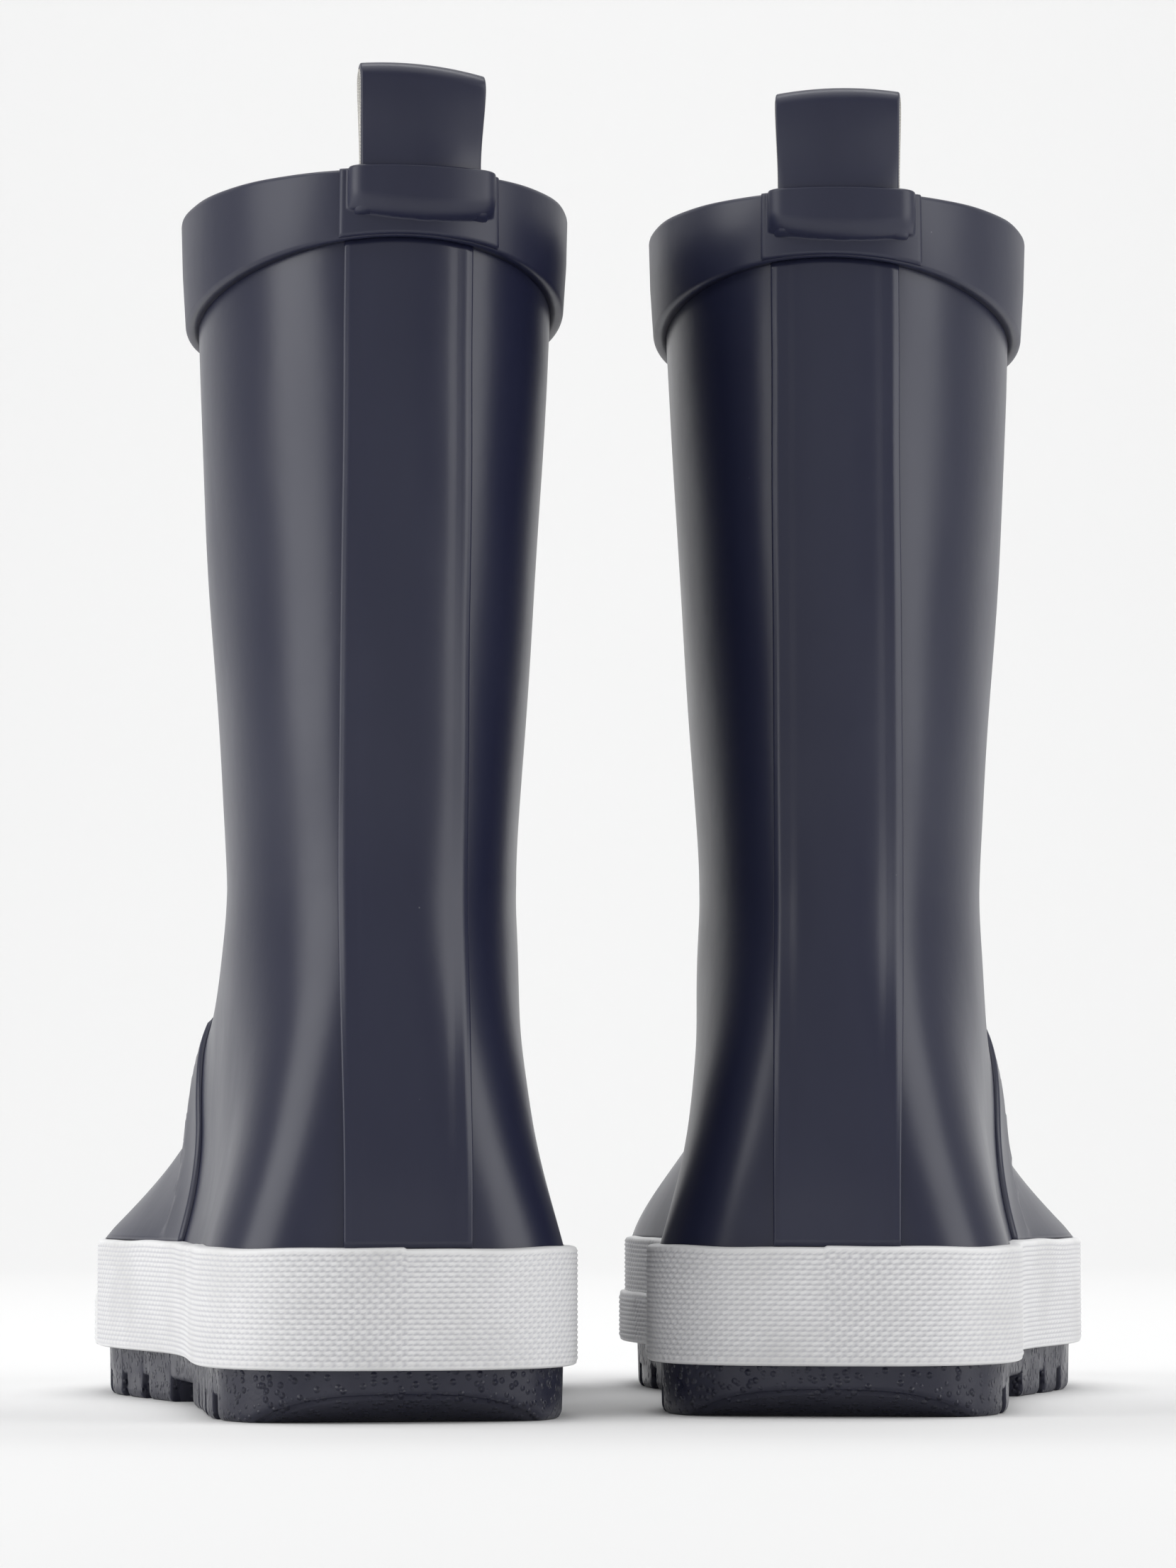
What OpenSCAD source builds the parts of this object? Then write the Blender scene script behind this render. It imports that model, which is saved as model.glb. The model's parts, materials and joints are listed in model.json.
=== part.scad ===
// A pair of child's rubber deck boots, stood side by side with their toes along +Y.
// Each boot is worked out in its own frame: heel back at y = 0, middle of the heel at x = 0,
// ground at z = 0 and the inner (medial) side of the left boot towards +X.

/* [Boot] */
// Height of the leg opening's rim above the ground
boot_h = 238.5; // [200:0.5:290]
// Length of the lasted upper, heel to toe, inside the foxing
foot_l = 211; // [180:1:250]
// Half width of the upper at the heel
heel_half = 34.5; // [30:0.5:42]
// How square the heel is in plan: 2 is a half circle
heel_square = 2.8; // [2:0.1:3.5]
// How much the foot narrows just above the foxing, as a share of its width
flank_in = 0.1; // [0:0.01:0.18]
// Height over which it narrows
flank_h = 25; // [15:1:40]
// Half width of the upper at the ball of the foot
ball_half = 47; // [38:0.5:54]
// Half width of the upper at the waist, between heel and ball
waist_half = 33; // [27:0.5:38]
// Height of the ankle, where the shaft is narrowest
ankle_z = 104; // [92:1:125]
// Half width of the shaft at the ankle
ankle_half = 28.5; // [25:0.5:34]
// Depth of the shaft at the ankle, back to front
ankle_d = 95; // [84:1:112]
// Half width of the shaft at the rim
rim_half = 36; // [31:0.5:42]
// Depth of the shaft at the rim, back to front
rim_d = 105; // [90:1:124]
// How far the back of the shaft comes in at the ankle
ankle_hollow = 7; // [3:0.5:11]
// How far the tip of the toe lies to the inner side
toe_swing = 9; // [4:0.5:13]
// Where the vamp's overlay ends at the waist, from the heel
vamp_seam = 88; // [76:1:100]

/* [Walls] */
// Thickness of the rubber upper
upper_t = 1.8; // [1.2:0.1:3]
// Thickness of the textile lining
lining_t = 1.2; // [0.8:0.1:2.4]
// Thickness of the heel counter and the toe puff, between upper and lining
ply_t = 0.9; // [0.5:0.1:1.4]
// Thickness of the rubber laid over the vamp and down the back
overlay_t = 1; // [0.6:0.1:1.8]
// Cement line between bonded pieces
bond = 0.05; // [0.03:0.01:0.2]

/* [Sole] */
// Height of the outsole under the foxing
sole_h = 10; // [7:0.5:15]
// How far the outsole runs up inside the foxing
sole_rise = 3; // [2:0.5:5]
// Depth of the tread below the outsole's web
tread_d = 4.5; // [2:0.5:6]
// Height of the foxing strip
fox_h = 23; // [17:0.5:28]
// Thickness of the foxing strip
fox_t = 2.5; // [1.6:0.1:4]
// Height of the toe guard strip round the lower foxing
guard_h = 11; // [7:0.5:15]
// Thickness of the toe guard strip
guard_t = 1.2; // [0.8:0.1:2.4]
// Where the toe guard starts on the inner side, from the heel
guard_start = 62; // [45:1:80]
// Where the toe guard ends on the outer side, from the heel
guard_end = 152; // [140:1:165]
// Width of the grooves between the tread lugs
groove_w = 4; // [3:0.5:6]
// Thickness of the lasting board
board_t = 2; // [1:0.1:3]
// Thickness of the footbed's foam
footbed_t = 5; // [3:0.5:7]
// Thickness of the footbed's fabric cover
cover_t = 0.8; // [0.5:0.1:1.5]
// Clearance round and under the footbed
footbed_gap = 1.5; // [1:0.1:3]
// Height of the bevel at the back of the heel
bevel_h = 5.4; // [2:0.1:8]
// How far the heel's bevel runs forward under the heel
bevel_l = 9; // [4:0.5:14]

/* [Collar and loop] */
// Height of the collar band on the outside
collar_h = 17.5; // [12:0.5:26]
// Thickness of the collar band on the outside
collar_t = 2.6; // [1.8:0.1:4]
// Depth of the collar band's turned-in lip on the inside
lip_h = 8; // [5:0.5:10]
// Width of the strip down the back seam
strip_w = 24.5; // [18:0.5:30]
// Width of the pull loop
loop_w = 23.5; // [16:0.5:27]
// Height of the pull loop above the rim
loop_h = 19.5; // [14:0.5:28]
// Thickness of the loop's rubber
loop_t = 1.1; // [0.9:0.1:1.6]
// Thickness of the loop's cotton webbing
web_t = 0.7; // [0.5:0.1:0.9]
// Width of the gap inside the loop
loop_gap = 3.6; // [3:0.1:6]
// How far the patch reaches past each side of the loop
patch_side = 2.3; // [1.5:0.1:4]
// Thickness of the patch that covers the loop's ends
patch_t = 1.1; // [0.7:0.1:1.6]
// Clearance between the loop's root and the collar
root_gap = 0.4; // [0.3:0.1:1]
// How far the left boot's loop sits to the right of the heel's middle, seen from behind
left_loop_x = 2.6; // [-4:0.1:4]
// How far the right boot's loop sits to the right of the heel's middle, seen from behind
right_loop_x = 3; // [-4:0.1:4]
// How far the left boot's back strip sits to the right of the heel's middle, seen from behind
left_strip_x = 1; // [-4:0.1:4]
// How far the right boot's back strip sits to the right of the heel's middle, seen from behind
right_strip_x = 1.9; // [-4:0.1:4]

/* [Stance] */
// How far the left boot turns its toe out, in degrees
left_yaw = 9; // [0:0.5:16]
// How far the right boot turns its toe out, in degrees
right_yaw = 5.5; // [0:0.5:16]
// How much closer the heels' middles stand than the balls are wide; the turned-out toes make the room
nesting = 20.5; // [0:0.5:22]
// How far the right heel stands ahead of the left one
right_ahead = 22; // [-40:1:40]
// Middle of the left heel's back, so that the pair is centred on the origin
stand = [-36, -114]; // [-200:1:200]

/* [Hidden] */

navy = [0.1, 0.11, 0.18];
pale = [0.86, 0.86, 0.85];
cotton = [0.93, 0.92, 0.88];
knit = [0.6, 0.6, 0.58];
board = [0.72, 0.6, 0.42];

cols = 32;                                  // points round each ring of the shells
sole_top = sole_h + sole_rise;
fox_top = sole_h + fox_h;
foot_rise = ankle_z - fox_top;
margin_w = 14;                              // width of the upper's turned-in lasting margin
margin_top = sole_top + upper_t;
board_top = margin_top + bond + board_t;
sock_z = board_top + bond;                  // underside of the lining's bottom
bed_z = sock_z + lining_t + 0.1;            // underside of the footbed
inner_d = upper_t + bond + lining_t;        // from the upper's face to the lining's inner face
collar_z = boot_h - collar_h;
shaft_top = boot_h - 1.2;                   // the collar band wraps over the shaft's edge
strap_t = loop_t + web_t;
tails_t = 2 * strap_t;
root_r = strap_t;
root_z = boot_h + root_gap + root_r;        // height of the loop's hinge axis
heel_gap = 2 * (ball_half + fox_t + guard_t) - nesting;

// Shape stations. Each is [place, value], joined by a smooth curve.
back_line = [
    [fox_top, 0], [fox_top + 18, 0.4], [ankle_z - 28, 0.5 * ankle_hollow],
    [ankle_z, ankle_hollow], [ankle_z + 30, 0.85 * ankle_hollow],
    [0.5 * (ankle_z + boot_h) + 15, 0.4 * ankle_hollow], [boot_h, 0.1 * ankle_hollow]
];
shaft_half = [
    [fox_top, heel_half], [ankle_z - 40, 0.3 * heel_half + 0.7 * ankle_half],
    [ankle_z - 14, ankle_half + 0.5], [ankle_z, ankle_half], [ankle_z + 18, ankle_half + 0.9],
    [0.5 * (ankle_z + boot_h), 0.5 * (ankle_half + rim_half) + 0.5], [boot_h, rim_half]
];
shaft_depth = [
    [fox_top, ankle_d], [ankle_z, ankle_d],
    [0.5 * (ankle_z + boot_h), 0.4 * ankle_d + 0.6 * rim_d], [boot_h, rim_d]
];
// Instep curve: share of the way up from the foxing to the ankle, share of the way from ankle to toe
instep = [
    [0, 1], [0.1, 0.978], [0.2, 0.918], [0.29, 0.815], [0.37, 0.68],
    [0.46, 0.505], [0.58, 0.34], [0.72, 0.175], [0.86, 0.065], [1, 0]
];
// Half width of the last along its length, as shares of the length
last_half = [
    [0, heel_half], [0.17, heel_half], [0.42, waist_half], [0.66, ball_half],
    [0.8, ball_half - 1.5], [1, ball_half - 7]
];
// Middle line of the last along its length
last_mid = [
    [0, 0], [0.2, 0], [0.42, -1.5], [0.62, 0.06 * toe_swing],
    [0.75, 0.36 * toe_swing], [0.9, 0.78 * toe_swing], [1, toe_swing]
];
toe_cap = 0.26 * foot_l;                    // length over which the toe rounds off

// Slope at station k of a table
function slope_at(t, k) =
    let (a = max(k - 1, 0), b = min(k + 1, len(t) - 1))
    (t[b][1] - t[a][1]) / (t[b][0] - t[a][0]);
// Smooth value of a table at v, held level past its ends
function smooth_at(t, v) =
    v <= t[0][0] ? t[0][1] :
    v >= t[len(t) - 1][0] ? t[len(t) - 1][1] :
    let (
        k = max([for (i = [0 : len(t) - 2]) if (t[i][0] <= v) i]),
        w = t[k + 1][0] - t[k][0],
        u = (v - t[k][0]) / w
    )
    t[k][1] * (2 * u ^ 3 - 3 * u ^ 2 + 1) + t[k + 1][1] * (3 * u ^ 2 - 2 * u ^ 3)
    + w * slope_at(t, k) * (u ^ 3 - 2 * u ^ 2 + u) + w * slope_at(t, k + 1) * (u ^ 3 - u ^ 2);
function ease(u) = let (v = min(max(u, 0), 1)) v * v * (3 - 2 * v);

// Back and front of the boot at height z
function back_y(z) = smooth_at(back_line, z);
function front_y(z) =
    z >= ankle_z ? back_y(z) + smooth_at(shaft_depth, z) :
    let (front = ankle_hollow + ankle_d)
    front + (foot_l - front) * smooth_at(instep, (z - fox_top) / (ankle_z - fox_top));
// Height of the instep above a place y on the last
function roof_z(y, lo = 0, hi = 1, n = 18) =
    y <= ankle_hollow + ankle_d ? 10000 :
    n == 0 ? fox_top + foot_rise * (lo + hi) / 2 :
    let (mid = (lo + hi) / 2)
    front_y(fox_top + foot_rise * mid) > y ? roof_z(y, mid, hi, n - 1) : roof_z(y, lo, mid, n - 1);
// Half width of the last at y, rounded off at heel and toe
function plan_half(y) =
    let (
        u = y / foot_l,
        heel = y < heel_half ? max(0, 1 - (1 - y / heel_half) ^ heel_square) ^ (1 / heel_square) : 1,
        toe = y > foot_l - toe_cap ? sqrt(max(0, 1 - ((y - foot_l + toe_cap) / toe_cap) ^ 2.3)) : 1
    )
    smooth_at(last_half, u) * heel * toe;
// Share of its width that the foot keeps at height z
function flank(z) = 1 - flank_in * (1 - (1 - min(1, max(0, z - fox_top) / flank_h)) ^ 2);
// How far the section at height z has turned from foot to shaft
function shaft_share(z) = ease((z - fox_top) / (ankle_z - fox_top));
// A point on the outside of the upper: turn a runs from the heel, round the outer side, to 180 at the toe
function skin(a, z) =
    let (
        side = sin(a) >= 0 ? -1 : 1,
        y0 = back_y(z),
        y1 = front_y(z),
        y = y0 + (y1 - y0) * (1 - cos(a)) / 2,
        k = shaft_share(z),
        up = max(0, z - fox_top) / (roof_z(y) - fox_top),
        dome = sqrt(max(0, 1 - up ^ (side < 0 ? 1 : 2))),
        heel_in = y0 * (1 - ease((y - y0) / (2 * heel_half))),
        foot = plan_half(y - heel_in) * dome * flank(z),
        shaft = smooth_at(shaft_half, z) * abs(sin(a)),
        half = (1 - k) * foot + k * shaft
    )
    [(1 - k) * smooth_at(last_mid, y / foot_l) + side * half, y, z];
// Outward direction of the skin; level at the foot of the wall and in the shaft's top
function skin_out(a, z) =
    let (
        da = skin(a + 2, z) - skin(a - 2, z),
        dz = z <= fox_top ? [0, 0, 1] : skin(a, z + 1) - skin(a, z - 1),
        n = cross(dz, da),
        flat = z > collar_z - 12 || z <= fox_top ? [n[0], n[1], 0] : n
    )
    flat / norm(flat);
// A point at depth d below the skin
function wall(a, z, d) = skin(a, z) + d * -skin_out(a, z);
// The same point, kept at height z
function level_wall(a, z, d) = let (p = wall(a, min(z, fox_top), d)) [p[0], p[1], z];

// Turn about the heel at which the skin stands x to the side, at height z
function turn_at(x, z, lo = 0, hi = 85, n = 11) =
    n == 0 ? (lo + hi) / 2 :
    let (mid = (lo + hi) / 2)
    abs(skin(mid, z)[0]) < x ? turn_at(x, z, mid, hi, n - 1) : turn_at(x, z, lo, mid, n - 1);
// Turn at which the skin stands y along the boot, at height z
function turn_at_y(y, z) =
    let (y0 = back_y(z), y1 = front_y(z))
    acos(min(1, max(-1, 1 - 2 * (y - y0) / (y1 - y0))));

turns = [for (i = [0 : cols - 1]) 360 * i / cols];
// Heights of the shell's rings, closest where the instep is steep
foot_shares = [0, 0.07, 0.14, 0.21, 0.28, 0.34, 0.4, 0.46, 0.53, 0.62, 0.73, 0.86, 1];
shaft_shares = [0.1, 0.24, 0.42, 0.62, 0.82, 1];
levels = concat(
    [for (u = foot_shares) fox_top + foot_rise * u],
    [for (u = shaft_shares) ankle_z + (shaft_top - ankle_z) * u]
);

// The two triangles of the cell between rings j and j + 1 at column i. Cells from ring number down
// on are split the other way, so that a wall's inside and outside have their edges in the same places.
function cell(i, j, n, m, down) =
    let (a = j * n + i, b = j * n + (i + 1) % n, up = (j + 1) % m * n, c = up + (i + 1) % n, d = up + i)
    j >= down ? [[a, b, d], [b, c, d]] : [[a, b, c], [a, c, d]];
// Closed solid through rings of equal length; the last ring joins the first
module ring_solid(rings, down = 1000) {
    n = len(rings[0]);
    m = len(rings);
    polyhedron(
        points = [for (r = rings) for (p = r) p],
        faces = [for (j = [0 : m - 1]) for (i = [0 : n - 1]) each cell(i, j, n, m, down)]
    );
}
// Closed solid through rings of equal length, with a flat cap on the first and on the last
module cup_solid(rings, down = 1000) {
    n = len(rings[0]);
    m = len(rings);
    polyhedron(
        points = [for (r = rings) for (p = r) p],
        faces = concat(
            [for (j = [0 : m - 2]) for (i = [0 : n - 1]) each cell(i, j, n, m, down)],
            [[for (i = [n - 1 : -1 : 0]) i], [for (i = [0 : n - 1]) (m - 1) * n + i]]
        )
    );
}
// Closed slab between an outer and an inner grid of points, rows of equal length
module slab(outer, inner) {
    m = len(outer);
    n = len(outer[0]);
    edge = concat([for (i = [0 : n - 1]) i], [for (j = [1 : m - 1]) j * n + n - 1],
        [for (i = [n - 2 : -1 : 0]) (m - 1) * n + i], [for (j = [m - 2 : -1 : 1]) j * n]);
    polyhedron(
        points = concat([for (r = outer) for (p = r) p], [for (r = inner) for (p = r) p]),
        faces = concat(
            [for (j = [0 : m - 2]) for (i = [0 : n - 2]) let (a = j * n + i)
                each [[a, a + 1, a + n + 1], [a, a + n + 1, a + n]]],
            [for (j = [0 : m - 2]) for (i = [0 : n - 2]) let (a = m * n + j * n + i)
                each [[a, a + n + 1, a + 1], [a, a + n, a + n + 1]]],
            [for (k = [0 : len(edge) - 1]) let (a = edge[k], b = edge[(k + 1) % len(edge)])
                each [[a, a + m * n, b + m * n], [a, b + m * n, b]]]
        )
    );
}

function ring(z, d) = [for (a = turns) wall(a, z, d)];
function level_ring(z, d) = [for (a = turns) level_wall(a, z, d)];
function flat_wall(a, d) = let (p = wall(a, fox_top, d)) [p[0], p[1]];
function outline(d) = [for (a = turns) flat_wall(a, d)];

// Ranges of columns and levels that the heel counter and the toe puff fill
counter_cols = 6;
puff_cols = 6;
counter_top = 9;
puff_top = 5;
function on_counter(i, j) = (i <= counter_cols || i >= cols - counter_cols) && j <= counter_top;
function on_puff(i, j) = abs(i - cols / 2) <= puff_cols && j <= puff_top;
function ply_at(i, j) = on_counter(i, j) || on_puff(i, j) ? ply_t : 0;

// Sets a piece in its place on the left or the right boot
module place(side) {
    if (side == "left") {
        translate([stand[0], stand[1], 0]) rotate([0, 0, left_yaw]) children();
    } else {
        translate([stand[0] + heel_gap, stand[1] + right_ahead, 0]) rotate([0, 0, -right_yaw])
            mirror([1, 0, 0]) children();
    }
}

module upper(side) {
    color(navy) place(side) ring_solid(concat(
        [level_ring(sole_top, 0)],
        [for (z = levels) ring(z, 0)],
        [for (k = [len(levels) - 1 : -1 : 0]) ring(levels[k], upper_t)],
        [level_ring(margin_top, upper_t), level_ring(margin_top, margin_w), level_ring(sole_top, margin_w)]
    ), down = len(levels) + 1);
}

module lining(side) {
    top = len(levels) - 1;
    outer_d = upper_t + bond;
    inner_z = sock_z + lining_t;
    function low(z, d) = [for (i = [0 : cols - 1]) level_wall(turns[i], z, d + ply_at(i, 0))];
    function row(j, d) = [for (i = [0 : cols - 1]) wall(turns[i], levels[j], d + ply_at(i, j))];
    color(knit) place(side) cup_solid(concat(
        [low(sock_z, outer_d)],
        [for (j = [0 : top]) row(j, outer_d)],
        [for (j = [top : -1 : 0]) row(j, outer_d + lining_t)],
        [low(inner_z, outer_d + lining_t)]
    ), down = top + 2);
}

// Patch of ply between the upper and the lining, over whole columns and rows of the shell
module ply(first, last, top) {
    function grid(d) = concat(
        [[for (i = [first : last]) level_wall(360 * i / cols, sock_z, d)]],
        [for (j = [0 : top]) [for (i = [first : last]) wall(360 * i / cols, levels[j], d)]]
    );
    slab(grid(upper_t + bond), grid(upper_t + ply_t));
}

module heel_counter(side) {
    color(board) place(side) ply(-counter_cols, counter_cols, counter_top);
}

module toe_puff(side) {
    color(board) place(side) ply(cols / 2 - puff_cols, cols / 2 + puff_cols, puff_top);
}

overlay_col = 5;                            // first column of the shell under the vamp's overlay
overlay_top = 11;                           // last ring under it
vamp_top = levels[overlay_top];
// The overlay's edge at the waist, seen from the side: [height, place from the heel]
seam_line = [
    [fox_top, vamp_seam], [fox_top + 25, vamp_seam - 6],
    [vamp_top - 12, vamp_seam - 3], [vamp_top, vamp_seam + 2]
];

// Rubber laid over the fore part of the upper, ending in a seam at the waist
module vamp_overlay(side) {
    past = 5;
    far = foot_l + 20;
    function grid(d) = [for (j = [0 : overlay_top])
        [for (i = [overlay_col : cols - overlay_col]) wall(turns[i], levels[j], d)]];
    color(navy) place(side) intersection() {
        slab(grid(-overlay_t - bond), grid(-bond));
        translate([-foot_l / 2, 0, 0]) rotate([90, 0, 90]) linear_extrude(foot_l) polygon(concat(
            [[far, vamp_top + past], [far, fox_top - past], [vamp_seam, fox_top - past]],
            [for (k = [0 : 6])
                let (z = fox_top + (vamp_top - fox_top) * k / 6)
                [smooth_at(seam_line, z), z]],
            [[vamp_seam + 3, vamp_top + past]]
        ));
    }
}

seat = 6 * bond;    // cement line under a piece whose columns differ from those of the skin under it
function loop_x(side) = side == "left" ? left_loop_x : -right_loop_x;
function strip_x(side) = side == "left" ? left_strip_x : -right_strip_x;
function moved(xs, by) = [for (x = xs) x + by];
// Upright grid on the heel side, columns at the given distances from the middle
function back_row(z, xs, ds) =
    [for (k = [0 : len(xs) - 1]) let (a = turn_at(abs(xs[k]), z)) wall(xs[k] > 0 ? -a : a, z, ds[k])];

// Strip over the back seam, from the foxing up to the collar
module back_strip(side) {
    xs = [for (u = [1, 0.75, 0.4, 0, -0.4, -0.75, -1]) 0.5 * strip_w * u];
    zs = concat([for (z = levels) if (z < collar_z - 4) z], [collar_z - bond]);
    at = moved(xs, strip_x(side));
    color(navy) place(side) slab(
        [for (z = zs) back_row(z, at, [for (x = xs) -seat - overlay_t])],
        [for (z = zs) back_row(z, at, [for (x = xs) -seat])]
    );
}

collar_edge = 1.4;                          // bevel along the collar's upper edge
collar_foot = 0.8;                          // bevel along its lower edge
lip_d = inner_d + 1.4;                      // depth of the lip's face
// Section of the collar band: [depth below the skin, height]
collar_section = [
    [-bond, collar_z], [collar_foot - collar_t, collar_z], [-collar_t, collar_z + collar_foot],
    [-collar_t, boot_h - collar_edge], [collar_edge - collar_t, boot_h], [lip_d - 1, boot_h],
    [lip_d, boot_h - 1], [lip_d, boot_h - lip_h], [inner_d + bond, boot_h - lip_h],
    [inner_d + bond, shaft_top + bond], [-bond, shaft_top + bond]
];

// Band round the rim: its outside, over the shaft's edge, and a short lip inside
module collar_band(side) {
    color(navy) place(side) ring_solid([for (s = collar_section) ring(s[1], s[0])]);
}

tail_low = collar_z + 0.3 * collar_h;       // lower ends of the loop's tails
tail_rows = [for (u = [0, 0.5, 1]) tail_low + (boot_h - tail_low) * u];
tail_xs = [for (u = [1, 0.6, 0, -0.6, -1]) 0.5 * loop_w * u];

// The strap's two tails, laid on the collar band under the patch
module loop_anchor(side) {
    at = moved(tail_xs, loop_x(side));
    color(cotton) place(side) slab(
        [for (z = tail_rows) back_row(z, at, [for (x = tail_xs) -collar_t - seat - tails_t])],
        [for (z = tail_rows) back_row(z, at, [for (x = tail_xs) -collar_t - seat])]
    );
}

// Patch moulded over the tails: it lies on the collar at its edges and bulges over the strap
module collar_patch(side) {
    room = 0.3;
    edge = 0.5 * loop_w + patch_side;
    step = 0.5 * loop_w + room;
    xs = concat([edge, step], tail_xs, [-step, -edge]);
    flat = -collar_t - seat;
    over = flat - tails_t - bond;
    function ins(lift) = [for (x = xs) abs(x) < step && lift ? over : flat];
    function outs(lift) = [for (x = xs) (abs(x) <= step && lift ? over : flat) - patch_t];
    // Rows of the patch: [height, whether it lies over the tails]
    rows = concat([[collar_z + 1, false], [tail_low - room, false]], [for (z = tail_rows) [z, true]]);
    at = moved(xs, loop_x(side));
    color(navy) place(side) slab(
        [for (r = rows) back_row(r[0], at, outs(r[1]))],
        [for (r = rows) back_row(r[0], at, ins(r[1]))]
    );
}

loop_y = back_y(boot_h) - collar_t - seat - tails_t / 2;    // middle of the strap at the rim
loop_top_r = loop_gap / 2 + strap_t;
fold_r = 0.25;                              // radius of the loop's fold at its root, inside
// Outline of the loop seen from the side, shrunk by t all round
module loop_side(t) {
    inside = t > 0;
    hull() {
        translate([0, root_z + (inside ? root_r : 0)])
            circle(r = inside ? fold_r + strap_t - t : root_r, $fn = 32);
        translate([0, boot_h + loop_h - loop_top_r]) circle(r = loop_top_r - t, $fn = 32);
    }
}
// Carries a side outline across the loop's width
module across(side) {
    translate([loop_x(side) - loop_w / 2, loop_y, 0]) rotate([90, 0, 90]) linear_extrude(loop_w) children();
}

module pull_loop(side) {
    color(navy) place(side) across(side) difference() {
        loop_side(0);
        loop_side(loop_t);
    }
}

module loop_webbing(side) {
    color(cotton) place(side) across(side) difference() {
        loop_side(loop_t + bond);
        loop_side(strap_t);
    }
}

module foxing(side) {
    color(pale) place(side) translate([0, 0, sole_h]) linear_extrude(fox_h) difference() {
        polygon(outline(-fox_t));
        polygon(outline(-bond));
    }
}

// Strip round the lower foxing, from the inner waist round the toe to the outer ball
module toe_guard(side) {
    a0 = turn_at_y(guard_end, fox_top);
    a1 = 360 - turn_at_y(guard_start, fox_top);
    along = concat([a0], [for (a = turns) if (a > a0 + 1 && a < a1 - 1) a], [a1]);
    stand_d = -fox_t - bond;
    last = len(along) - 1;
    color(pale) place(side) translate([0, 0, sole_h]) linear_extrude(guard_h) polygon(concat(
        [for (a = along) flat_wall(a, stand_d - guard_t)],
        [for (k = [last : -1 : 0]) flat_wall(along[k], stand_d)]
    ));
}

waist = [0.36 * foot_l, 0.47 * foot_l];     // open part of the tread, between heel and forefoot
lug_pitch = 13;                             // spacing of the grooves across the tread
heel_land = 20;                             // uncut tread at the back of the heel
toe_land = 12;                              // uncut tread at the toe
heel_core = heel_half - 11;                 // half width of the heel's uncut middle
cut_w = 2 * ball_half + 20;                 // wider than the sole anywhere

// Slot through the tread from one side, starting at x and y
module tread_cut(x, y, w, l) {
    translate([x, y, -1]) cube([w, l, tread_d + 1]);
}

// Wedge taken off the back of the heel's underside
module heel_bevel() {
    slope = bevel_h / bevel_l;
    translate([-cut_w / 2, 0, 0]) rotate([90, 0, 90]) linear_extrude(cut_w)
        polygon([[-1, -1], [bevel_l + 1 / slope, -1], [-1, bevel_h + slope]]);
}

// Outsole: a web with heel and forefoot treads below it and an open waist between them
module outsole(side) {
    color(navy) place(side) difference() {
        linear_extrude(sole_top) polygon(outline(0));
        tread_cut(-cut_w / 2, waist[0], cut_w, waist[1] - waist[0]);
        for (y = [waist[1] + lug_pitch : lug_pitch : foot_l - toe_land])
            tread_cut(-cut_w / 2, y, cut_w, groove_w);
        for (y = [heel_land : lug_pitch : waist[0] - 2 * groove_w]) {
            tread_cut(heel_core, y, heel_half, groove_w);
            tread_cut(-heel_core - heel_half, y, heel_half, groove_w);
        }
        heel_bevel();
    }
}

module lasting_board(side) {
    color(board) place(side) translate([0, 0, margin_top + bond]) linear_extrude(board_t)
        polygon(outline(upper_t + 2 * bond));
}

// Fills the hollow inside the lasting margin
module midsole_filler(side) {
    color(board) place(side) translate([0, 0, sole_top + bond]) linear_extrude(upper_t - bond)
        polygon(outline(margin_w + 4 * bond));
}

bed_d = upper_t + bond + ply_t + lining_t + footbed_gap;

module footbed_foam(side) {
    color("dimgray") place(side) translate([0, 0, bed_z]) linear_extrude(footbed_t) polygon(outline(bed_d));
}

module footbed_cover(side) {
    color("lightgray") place(side) translate([0, 0, bed_z + footbed_t + bond]) linear_extrude(cover_t)
        polygon(outline(bed_d));
}

upper("left");  // left_upper
vamp_overlay("left");  // left_vamp_overlay
back_strip("left");  // left_back_strip
lining("left");  // left_lining
heel_counter("left");  // left_heel_counter
toe_puff("left");  // left_toe_puff
lasting_board("left");  // left_lasting_board
midsole_filler("left");  // left_midsole_filler
outsole("left");  // left_outsole
foxing("left");  // left_foxing
toe_guard("left");  // left_toe_guard
collar_band("left");  // left_collar_band
collar_patch("left");  // left_collar_patch
loop_anchor("left");  // left_loop_anchor
pull_loop("left");  // left_pull_loop
loop_webbing("left");  // left_loop_webbing
footbed_foam("left");  // left_footbed_foam
footbed_cover("left");  // left_footbed_cover
upper("right");  // right_upper
vamp_overlay("right");  // right_vamp_overlay
back_strip("right");  // right_back_strip
lining("right");  // right_lining
heel_counter("right");  // right_heel_counter
toe_puff("right");  // right_toe_puff
lasting_board("right");  // right_lasting_board
midsole_filler("right");  // right_midsole_filler
outsole("right");  // right_outsole
foxing("right");  // right_foxing
toe_guard("right");  // right_toe_guard
collar_band("right");  // right_collar_band
collar_patch("right");  // right_collar_patch
loop_anchor("right");  // right_loop_anchor
pull_loop("right");  // right_pull_loop
loop_webbing("right");  // right_loop_webbing
footbed_foam("right");  // right_footbed_foam
footbed_cover("right");  // right_footbed_cover
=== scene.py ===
import bpy
import bmesh
import json
import math
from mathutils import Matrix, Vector
import numpy as np


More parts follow.
